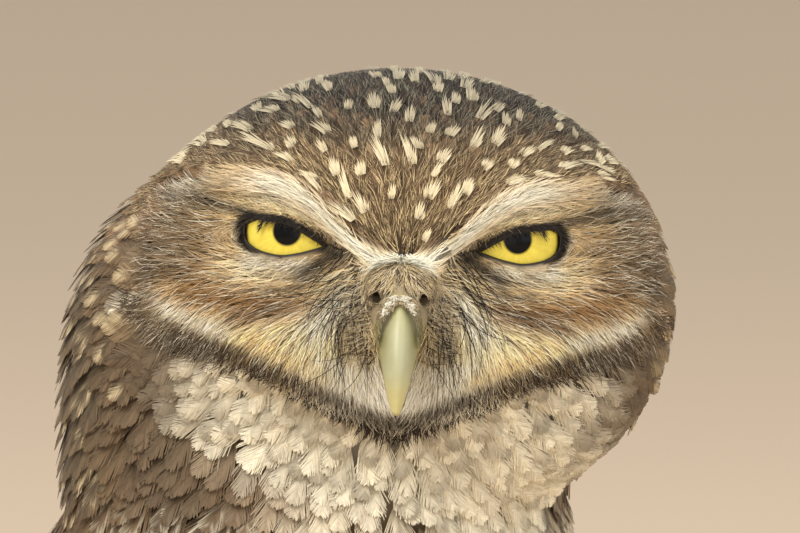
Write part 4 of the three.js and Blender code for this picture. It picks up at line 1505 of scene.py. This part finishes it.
build_bill("bill", UPPER_BILL, shade_upper, "bill_upper", rings=BILL_RINGS, around=40)
slim_lower = [(*row[:4], row[4] * LOWER_SLIM) for row in LOWER_BILL]
build_bill("mandible", slim_lower, shade_lower, "bill_lower", rings=28, around=32)
build_cere()


# Bristles and down round the bill

BILL_ROWS = spline(UPPER_BILL, BILL_RINGS)
BILL_MIDDLE = (BILL_ROWS[:, 0:2] + BILL_ROWS[:, 2:4]) / 2
BILL_HIGH = np.linalg.norm(BILL_ROWS[:, 0:2] - BILL_ROWS[:, 2:4], axis=1) / 2
CRUST_LINE = [
    (-1.95, -1.2), (-1.55, 0.1), (-0.95, 1.05), (0.0, 1.5), (0.85, 1.2), (1.35, 0.4), (1.6, -0.8),
]


def bill_cover_field(p):
    """The outline of the coat where it runs over the upper bill too."""
    q = to_head(p)
    away = np.linalg.norm(q[..., None, 1:] - BILL_MIDDLE, axis=-1)
    k = away.argmin(-1)
    high, half = BILL_HIGH[k], BILL_ROWS[k, 4]
    size = np.hypot(q[..., 0] / half, away.min(-1) / high)
    return melt(face_field(p), (size - 1) * np.minimum(half, high), 0.8)


def on_bill(x, z):
    """Places on the coat over the bill, from how far across and how high they are."""
    return project(bill_cover_field, from_head(np.stack([x, np.full(len(x), FACE_Y), z], -1)), 0.0, 6)


def cere_roots(count, seed):
    """Places on the front of the cere that the bill and the nostrils leave free."""
    rng = np.random.default_rng(seed)
    d = unit(rng.normal(0, 1, (count, 3)))
    q = CERE_AT + d * CERE_SHOWN
    x = np.abs(q[:, 0])
    free = (d[:, 1] < 0.25) & (nostril_gap(x, q[:, 2]) > 1.15) & ~in_bill(x, q[:, 2], 0.1)
    return from_head(q[free])


def bill_cover_roots(count, seed):
    """Places on the shoulders of the bill that the down round it hides."""
    rng = np.random.default_rng(seed)
    z = rng.uniform(-4.0, 1.9, count)
    x = rng.uniform(0, 3.9, count)
    shoulder = ~in_bill(x, z, 0.15)
    x, z = x[shoulder], z[shoulder]
    side = rng.choice([-1.0, 1.0], len(x))
    free = nostril_gap(x, z) > 1.1
    return on_bill((side * x)[free], z[free])


def crust_roots(count, seed):
    """Places along the pale, flaky edge that arches over the top of the bill."""
    rng = np.random.default_rng(seed)
    line = spline(CRUST_LINE, 80)
    at = line[rng.integers(0, 80, count)] + rng.normal(0, 0.2, (count, 2))
    return on_bill(at[:, 0], at[:, 1])


strand_coat(
    "bristles", scatter(bristle_region, 0.82, 51), way_bristle, 9.0, 0.1, (-0.2, 0.8), paint_bristle,
    "brown_feather", 61, spread=0.3, stations=9, bend=1.0, curl=0.7, keep=clear_face,
)
strand_coat(
    "fuzz", np.concatenate([scatter(fuzz_region, 0.3, 52), cere_roots(count=5200, seed=53)]), way_fuzz,
    1.9, 0.1, (-0.3, 0.5), paint_fuzz, "pale_feather", 62, spread=0.32, keep=clear_face,
)
strand_coat(
    "bill_down", bill_cover_roots(count=6000, seed=56), way_bill_down, 1.0, 0.1, (0.0, 0.2), paint_bill_down,
    "brown_feather", 66, field=bill_cover_field, spread=0.3, curl=0.3, keep=clear_nostrils,
)
strand_coat(
    "crust", crust_roots(count=620, seed=57), way_bill_down, 0.55, 0.12, (0.05, 0.3), paint_crust,
    "pale_feather", 67, field=bill_cover_field, spread=0.7, stations=3, taper=0.6,
)
strand_coat(
    "bridge", scatter(bridge_region, 0.19, 58), way_bridge, 1.8, 0.11, (-0.2, 0.85), paint_bridge,
    "pale_feather", 68, spread=0.35, tones=0.08, lines_tone=0.2, keep=clear_nostrils,
)


# Wings

def wing_axis(t):
    a, b, c = WING_AXIS
    t = np.asarray(t)[..., None]
    return (1 - t) ** 2 * a + 2 * t * (1 - t) * b + t * t * c


def wing_tangent(t):
    a, b, c = WING_AXIS
    t = np.asarray(t)[..., None]
    return unit(2 * (1 - t) * (b - a) + 2 * t * (c - b))


def wing_point(side, t, angle, level):
    """A place over the flank, by how far along the wing's axis, the angle round it and the height."""
    t, angle, level = np.broadcast_arrays(t, angle, level)
    along = wing_tangent(t)
    a = np.radians(angle)
    ray = np.stack([side * np.sin(a), -along[..., 2] * np.cos(a), along[..., 1] * np.cos(a)], -1)
    return march(wrap_field, wing_axis(t), ray, level, reach=90, rounds=17)


def dorsal_edge(t):
    return lerp(34, 14, smooth(t, 0, 0.35))


def ventral_edge(t):
    return lerp(92, 112, smooth(t, 0, 0.2)) - 44 * smooth(t, 0.25, 0.95)


def first_angle(t):
    return ventral_edge(t) - 6


def lane_step(t):
    return (first_angle(t) - dorsal_edge(t) - 6) / 5


def lane_angle(lane, t):
    return first_angle(t) - lane * lane_step(t)


PITCH_AT = np.linspace(0, 1, 41)
PITCH = 1.1 / 5 * np.linalg.norm(
    np.subtract(*(wing_point(1, PITCH_AT, lane_angle(lane, PITCH_AT), 0.0) for lane in (0, 5))), axis=-1
)


def paint_vane(bars, s, x, draw):
    """Flight feathers carry bars, and coverts carry spots."""
    c = over_all(lerp(HUE["back"], HUE["back_dark"], 0.2 + 0.6 * draw[:, :1])[:, None, :], s)
    shift = 0.12 * (draw[:, 3:4] - 0.5)
    if bars:
        wave = 0.5 + 0.5 * np.cos((s + 0.5 * shift) * bars * 2 * math.pi)
        mark = smooth(wave, 0.6, 0.9) * smooth(np.abs(x), 0.15, 0.4)
        c = blend(c, HUE["cream"] * 0.85, 0.65 * mark)
    else:
        size = 0.45 + 0.6 * draw[:, 4:5]
        across = np.abs(x - 0.2 * (draw[:, 5:6] - 0.5))
        spots = spot(s, across, 0.86 + shift, 0.48, 0.1 * size, 0.3 * size)
        spots = spots + spot(s, across, 0.6 - shift, 0.45, 0.07 * size, 0.26 * size)
        shown = np.where(x < 0, draw[:, 1:2] < 0.7, draw[:, 2:3] < 0.7)
        c = lerp(c, HUE["crown_spot"] * 0.8, (spots * shown)[..., None])
        c = blend(c, HUE["nape_spot"], 0.4 * smooth(s, 0.9, 1.0))
    c = blend(c, c * 0.75, smooth(np.abs(x), 0.75, 1.0))
    c = blend(c, c * 0.5, bell(x, 0.05))
    return blend(c, HUE["cream"] * 0.7, 0.5 * smooth(s, 0.965, 1.0))


# Rows of a wing: how many, the first lane and the step to the next, where the roots and the tips are
# along the wing from the first feather to the last, the height at both ends, the half width, barbs, bars
WING_ROWS = [
    (8, -0.25, 0.34, (0.5, 0.5), (1.0, 0.92), (1.9, 2.0), 4.4, 84, 7),
    (11, 0, 0.5, (0.5, 0.47), (0.88, 0.71), (2.2, 4.6), 5.6, 64, 6),
    (11, 0, 0.5, (0.36, 0.34), (0.62, 0.56), (2.4, 4.9), 5.4, 44, 0),
    (12, -0.2, 0.48, (0.25, 0.24), (0.47, 0.43), (2.4, 4.9), 4.8, 36, 0),
    (12, -0.3, 0.5, (0.15, 0.14), (0.34, 0.31), (2.2, 4.8), 4.4, 32, 0),
    (12, -0.2, 0.5, (0.07, 0.06), (0.24, 0.21), (1.6, 4.6), 4.2, 30, 0),
    (9, 2, 0.5, (0.1, 0.08), (0.3, 0.34), (3.6, 6.0), 5.4, 36, 0),
    (14, -0.3, 0.42, (0.03, 0.03), (0.17, 0.16), (1.2, 4.7), 3.7, 26, 0),
    (8, 2.2, 0.46, (0.03, 0.02), (0.2, 0.22), (3.2, 6.1), 4.4, 30, 0),
    (14, -0.1, 0.42, (0.0, 0.0), (0.11, 0.1), (0.8, 4.7), 3.4, 24, 0),
    (8, 2.0, 0.46, (0.0, 0.0), (0.12, 0.13), (2.2, 5.9), 3.8, 26, 0),
]


def vane_uv(f, columns, row, rows, high):
    """A cell of the map for each feather, in one row for the feathers that are made together."""
    cell = np.stack([(np.arange(len(f.s)) + 0.5) / columns, np.full(len(f.s), (row + 0.5) / rows)], -1)
    return cell[:, None] + np.stack([f.x * 0.03, (f.s - 0.5) * high], -1)


def wing_vanes(side, number, count, lane, pitch, roots, tips, levels, half, barbs, bars):
    rng = np.random.default_rng(70 + number)
    share = np.linspace(0, 1, count)
    lanes = lane + np.arange(count)[:, None] * pitch
    root = np.maximum(lerp(*roots, share) + rng.normal(0, 0.004, count), 0)
    tip = lerp(*tips, share) + rng.normal(0, 0.009, count)
    f = fan(count, barbs, 4, rng, sweep=0.14, ragged=0.03, blunt=0.34, narrow=0.5)
    t = lerp(root[:, None], tip[:, None], f.s)
    last = (first_angle(t) - 4) / lane_step(t)
    out = np.minimum(-f.x * half / np.interp(t, PITCH_AT, PITCH), last - lanes)
    rise = np.maximum(lerp(*levels, f.s) - 0.5 * out / pitch, 0.8)
    rise = lerp(-1.8, rise, smooth(t, 0.0, 0.13)) + f.edge * 0.05
    points = wing_point(side, t, lane_angle(lanes + out, t), rise)
    colour = toned(paint_vane(bars, f.s, f.x, rng.random((count, 6))), 0.16 * f.tone, 0.6)
    return points, f.faces, colour, vane_uv(f, 14, number, len(WING_ROWS), 0.08)


def build_wing_base(word, side):
    """The wing's flesh under its feathers: a closed plate over the flank."""
    rows, columns = 40, 26
    along = np.linspace(0, 1, rows)[:, None]
    share = np.linspace(0, 1, columns)[None, :]
    t = lerp(0.1, 0.6, along) + 0 * share
    swell = np.sin(math.pi * lerp(0.03, 0.95, along)) ** 0.5
    rise = lerp(0.8, 2.0, swell * np.sin(math.pi * lerp(0.08, 0.92, share)) ** 0.6)
    angle = lerp(dorsal_edge(t) + 2, ventral_edge(t) - 3, share)
    outer = wing_point(side, t, angle, rise)
    inner = wing_point(side, t, angle, -0.5)
    ring = np.concatenate([outer, inner[:, ::-1]], 1)
    colour = np.broadcast_to(HUE["back_dark"], ring.shape)
    uv = grid_uv(ring, closed=False)
    finish_mesh("wing_base_" + word, ring, grid_faces(ring), "flight_feather", colour, uv)


for word, side in SIDES:
    points, faces, colour, uv = joined([wing_vanes(side, k, *row) for k, row in enumerate(WING_ROWS)])
    finish_mesh("wing_feathers_" + word, points, faces, "flight_feather", colour, uv, "wing_" + word)
    build_wing_base(word, side)


# Tail

TAIL_BASE = (-10, 34)
TAIL_PAIRS = 6


def tail_point(along, across, level):
    down = math.radians(TAIL_DOWN)
    level = level - 0.006 * across ** 2
    return TAIL_ROOT + np.stack([
        across + 0 * along, along * math.cos(down) + level * math.sin(down),
        -along * math.sin(down) + level * math.cos(down),
    ], -1)


def tail_base_size(s):
    return lerp(9.4, 7.0, s) * (1 - 0.5 * s ** 4), lerp(7.4, 2.6, s) * (1 - 0.5 * s ** 4)


def build_tail_coverts(name, way, slot, paint, seed):
    """Rows of feathers over the base of the tail: way is 1 on its back and -1 below it."""
    rng = np.random.default_rng(seed)
    rows, per_row, length, wide = 6, 9, 17.0, 3.4
    count = rows * per_row
    row = np.repeat(np.arange(rows), per_row)
    place = np.tile(np.linspace(-1, 1, per_row), rows) + rng.normal(0, 0.05, count)
    f = fan(count, 30, 2, rng, sweep=0.35, ragged=0.07)
    along = (-7 + 4.6 * row)[:, None] + f.s * (length * rng.uniform(0.85, 1.1, count))[:, None]
    share = np.clip((along - TAIL_BASE[0]) / (TAIL_BASE[1] - TAIL_BASE[0]), 0, 1)
    half, high = tail_base_size(share)
    across = place[:, None] * half * 0.9 + f.x * wide
    dome = np.sqrt(np.clip(1 - (across / (half + 1.5)) ** 2, 0, 1))
    raised = rng.uniform(0, 0.7, count)[:, None] * f.s
    level = way * (high * dome + 0.2 + 0.7 * f.s + raised + 0.02 * f.edge) - 1
    p = tail_point(along, across, level)
    root = p[:, 0]
    # Each barb lighter along one edge and darker along the other: painted highlight and painted shade.
    colour = toned(paint(root, f.s, f.x, rng.random((count, 6))), 0.1 * f.tone + 0.14 * f.edge, 0.5)
    finish_mesh(name, p, f.faces, slot, colour, patch_uv(unwrap_body(root), f.s, f.x))


def build_tail_feathers():
    rng = np.random.default_rng(80)
    pair = np.tile(np.arange(TAIL_PAIRS), 2)
    side = np.repeat([1.0, -1.0], TAIL_PAIRS)
    height = np.where((pair == 0) & (side > 0), 1.3, 0.9 - pair * 0.4)[:, None]
    length = (TAIL_LENGTH - 0.35 * pair ** 2)[:, None]
    f = fan(2 * TAIL_PAIRS, 90, 4, rng, sweep=0.1, ragged=0.03, blunt=0.26, narrow=0.42)
    centre = side[:, None] * (lerp(0.8, 1.6, f.s) + pair[:, None] * lerp(0.7, 2.5, f.s))
    across = centre + f.x * 6.4 * lerp(0.7, 1, f.s)
    p = tail_point(lerp(2, length, f.s), across, height + f.edge * 0.05)
    colour = toned(paint_vane(6.5, f.s, f.x, rng.random((2 * TAIL_PAIRS, 6))), 0.06 * f.tone, 0.6)
    uv = vane_uv(f, 2 * TAIL_PAIRS, 0, 1, 0.8)
    finish_mesh("tail_feathers", p, f.faces, "flight_feather", colour, uv, "tail")


def build_tail_base():
    s = np.linspace(0, 1, 24)[:, None]
    a = np.linspace(0, 2 * math.pi, 32, endpoint=False)[None, :]
    closed = np.sqrt(np.clip(np.minimum(s, 1 - s) / 0.1, 0, 1))
    half, high = (size * closed for size in tail_base_size(s))
    core = tail_point(lerp(*TAIL_BASE, s) + 0 * a, half * np.cos(a), high * np.sin(a) - 1)
    over = smooth(np.sin(a), -0.2, 0.2) + 0 * s
    colour = lerp(HUE["belly"] * 0.8, HUE["back_dark"], over[..., None])
    finish_mesh("tail_base", core, grid_faces(core), "pale_feather", colour, grid_uv(core))


build_tail_feathers()
build_tail_base()
build_tail_coverts("tail_coverts", 1, "brown_feather", paint_back, 82)
build_tail_coverts("under_tail_coverts", -1, "pale_feather", paint_under_tail, 83)


# Legs and feet

CLAW_STEPS, CLAW_SIDES = 36, 20
TOE_STEPS, TOE_SIDES = 60, 28
SHANK_STEPS, SHANK_SIDES = 80, 32
SCUTES_A_MM = 0.9
SHANK_SCUTES = 30
SHANK_INSET = 0.45
TOE_MAP_WIDTH = 70
LEG_DOWN = 1500
LEG_DOWN_HALF = 0.22


def tube(path, radii, sides, across, relief=None):
    """Rings round a path in one upright plane, closed at both ends; relief(s, a) adds to the radius."""
    over = np.cross(unit(np.gradient(path, axis=0)), across)
    a = np.linspace(0, 2 * math.pi, sides, endpoint=False)[None, :]
    r = radii[:, None] + 0 * a
    if relief:
        r = r + relief(np.linspace(0, 1, len(path))[:, None], a)
    rings = path[:, None] + (np.cos(a) * r)[..., None] * across + (np.sin(a) * r)[..., None] * over[:, None]
    ends = [np.repeat(at[None, None], sides, 1) for at in (path[0], path[-1])]
    return np.concatenate([ends[0], rings, ends[1]])


def radii_along(values, steps):
    return np.interp(np.linspace(0, 1, steps), np.linspace(0, 1, len(values)), values)


def scutes(count):
    def relief(s, a):
        ridge = np.abs(np.sin(math.pi * count * s)) ** 0.5
        pads = np.abs(np.sin(math.pi * 3 * s)) * smooth(-np.sin(a), 0.2, 0.8)
        return 0.22 * (ridge - 0.6) * smooth(np.sin(a), -0.2, 0.5) + 0.108 * pads
    return relief


def path_ahead(base, way, steps, count):
    """A curve from steps that are each a distance ahead and a height."""
    return spline([base + way * ahead + [0, 0, height] for ahead, height in steps], count)


def build_claw(name, base, way, across, at, z, node):
    steps = [
        (at, z + 0.3), (at + CLAW_REACH * 0.4, z + CLAW_ARCH), (at + CLAW_REACH * 0.8, z + CLAW_ARCH * 0.5),
        (at + CLAW_REACH, CLAW_TIP + 0.25),
    ]
    radii = radii_along([CLAW_RADIUS, CLAW_RADIUS * 0.88, CLAW_RADIUS * 0.55, CLAW_TIP * 0.6], CLAW_STEPS)
    rings = tube(path_ahead(base, way, steps, CLAW_STEPS), radii, CLAW_SIDES, across)
    share = smooth(np.linspace(0, 1, len(rings)), 0.05, 0.5)[:, None, None]
    shade = lerp(linear((70, 62, 54)), linear((22, 20, 19)), share) + 0 * rings
    finish_mesh(name, rings, grid_faces(rings), "claw", shade, grid_uv(rings, 0, 0, False), node)


def build_foot(word, side):
    base = np.array([side * FOOT_X, FOOT_Y, 0.0])
    toes = []
    for name, heading, length, root, tip in TOES:
        a = math.radians(heading)
        way = np.array([side * math.sin(a), -math.cos(a), 0.0])
        across = np.array([-way[1], way[0], 0.0])
        z = tip - FLAT_DEPTH
        steps = [(0, 4.6), (0.3 * length, root - FLAT_DEPTH), (0.65 * length, z), (length, z)]
        radii = radii_along([3.0, root, tip * 0.92, tip * 1.06, tip * 0.85], TOE_STEPS)
        count = int(length * SCUTES_A_MM)
        rings = tube(path_ahead(base, way, steps, TOE_STEPS), radii, TOE_SIDES, across, scutes(count))
        rings[..., 2] = np.maximum(rings[..., 2], 0.0)
        groove = np.abs(np.sin(math.pi * count * np.linspace(0, 1, len(rings)))) ** 0.5
        shade = lerp(linear((112, 100, 78)), linear((176, 164, 136)), groove[:, None, None]) + 0 * rings
        toes.append((rings, grid_faces(rings), shade))
        build_claw(f"talon_{name}_{word}", base, way, across, length + 0.2, z, f"claw_{name}_{word}")
    points, faces, colour = joined(toes)
    uv = 0.5 + (points - base)[:, :2] / TOE_MAP_WIDTH
    finish_mesh("toes_" + word, points, faces, "foot_skin", colour, uv, "foot_" + word)


def build_shank(word, side):
    """The bare leg with its scutes, and the short down that lies along it."""
    sideways = np.array([1.0, 0, 0])
    middle = (lerp(FOOT_Y, HEEL_Y, 0.45), lerp(4, HEEL_Z, 0.5))
    stops = [(FOOT_Y, 4.4), middle, (HEEL_Y, HEEL_Z), (HEEL_Y - 2, HEEL_Z + 6)]
    path = spline([(side * FOOT_X, *stop) for stop in stops], SHANK_STEPS)
    radii = radii_along(TARSUS_RADII, SHANK_STEPS) - SHANK_INSET
    rings = tube(path, radii, SHANK_SIDES, sideways, scutes(SHANK_SCUTES))
    colour = np.broadcast_to(linear((196, 182, 148)), rings.shape)
    uv = grid_uv(rings, 0, 0, False)
    finish_mesh("shank_" + word, rings, grid_faces(rings), "foot_skin", colour, uv, "tarsus_" + word)
    rng = np.random.default_rng(90)
    share = rng.uniform(0.02, 0.98, LEG_DOWN)
    a = rng.uniform(0, 2 * math.pi, LEG_DOWN)
    place = (share * (SHANK_STEPS - 1)).astype(int)
    along = -unit(np.gradient(path, axis=0))[place]
    out = unit(np.cos(a)[:, None] * sideways + np.sin(a)[:, None] * np.cross(-along, sideways))
    length = (rng.uniform(2.4, 4.2, LEG_DOWN) * lerp(0.6, 1.0, share))[:, None, None]
    steps = np.array([0, 0.5, 1.0])[:, None]
    heights = np.array([-0.1, 0.45, 0.5])[:, None]
    lines = (path[place] + out * radii[place][:, None])[:, None] + along[:, None] * length * steps
    lines = lines + out[:, None] * heights
    across = np.repeat(np.cross(out, along)[:, None] * LEG_DOWN_HALF, 3, 1)
    points, faces, s, x = ribbons(lines, across)
    points[..., 2] = np.maximum(points[..., 2], 1.0)
    colour = varied(over_all(HUE["thigh"], s), 0, 1, rng.uniform(0.85, 1.1, LEG_DOWN)[:, None])
    uv = patch_uv(np.stack([a / (2 * math.pi), share], -1), s, x)
    finish_mesh("leg_down_" + word, points, faces, "pale_feather", colour, uv)


for word, side in SIDES:
    build_foot(word, side)
    build_shank(word, side)


# Floor and light

FLOOR_HALF = 14.0
LAMPS_AIM = Vector((0, 0, 0.15))


def build_floor():
    mesh = bpy.data.meshes.new("floor")
    corners = [(x * FLOOR_HALF, y * FLOOR_HALF, 0) for x, y in ((-1, -1), (1, -1), (1, 1), (-1, 1))]
    mesh.from_pydata(corners, [], [(0, 1, 2, 3)])
    material, _, shader = new_material("floor", 0.9, 0.1)
    shader.inputs["Base Color"].default_value = (*linear((210, 190, 166)), 1)
    mesh.materials.append(material)
    linked("floor", mesh)


def soft_light(name, power, size, azimuth, elevation, away, tint):
    light = bpy.data.lights.new(name, "AREA")
    light.energy = power
    light.size = size
    light.color = tint
    lamp = linked(name, light)
    way = Vector(direction(azimuth, elevation))
    lamp.location = LAMPS_AIM + way * away
    lamp.rotation_euler = way.to_track_quat("Z", "Y").to_euler()


build_floor()
bpy.context.scene.view_settings.view_transform = "Standard"
soft_light("key", 106, 2.1, -70, 46, 3.5, (1.0, 0.97, 0.92))
soft_light("fill", 40, 3.1, 15, 25, 3.9, (0.97, 0.98, 1.0))
soft_light("rim", 9, 1.2, 150, 45, 2.0, (1.0, 0.98, 0.95))
soft_light("bounce", 20, 2.6, -35, 12, 4.0, (1.0, 0.95, 0.86))
world = bpy.data.worlds.new("studio")
bpy.context.scene.world = world
world.use_nodes = True
sky = world.node_tree.nodes["Background"]
sky.inputs["Color"].default_value = (0.92, 0.9, 0.87, 1)
sky.inputs["Strength"].default_value = 0.7
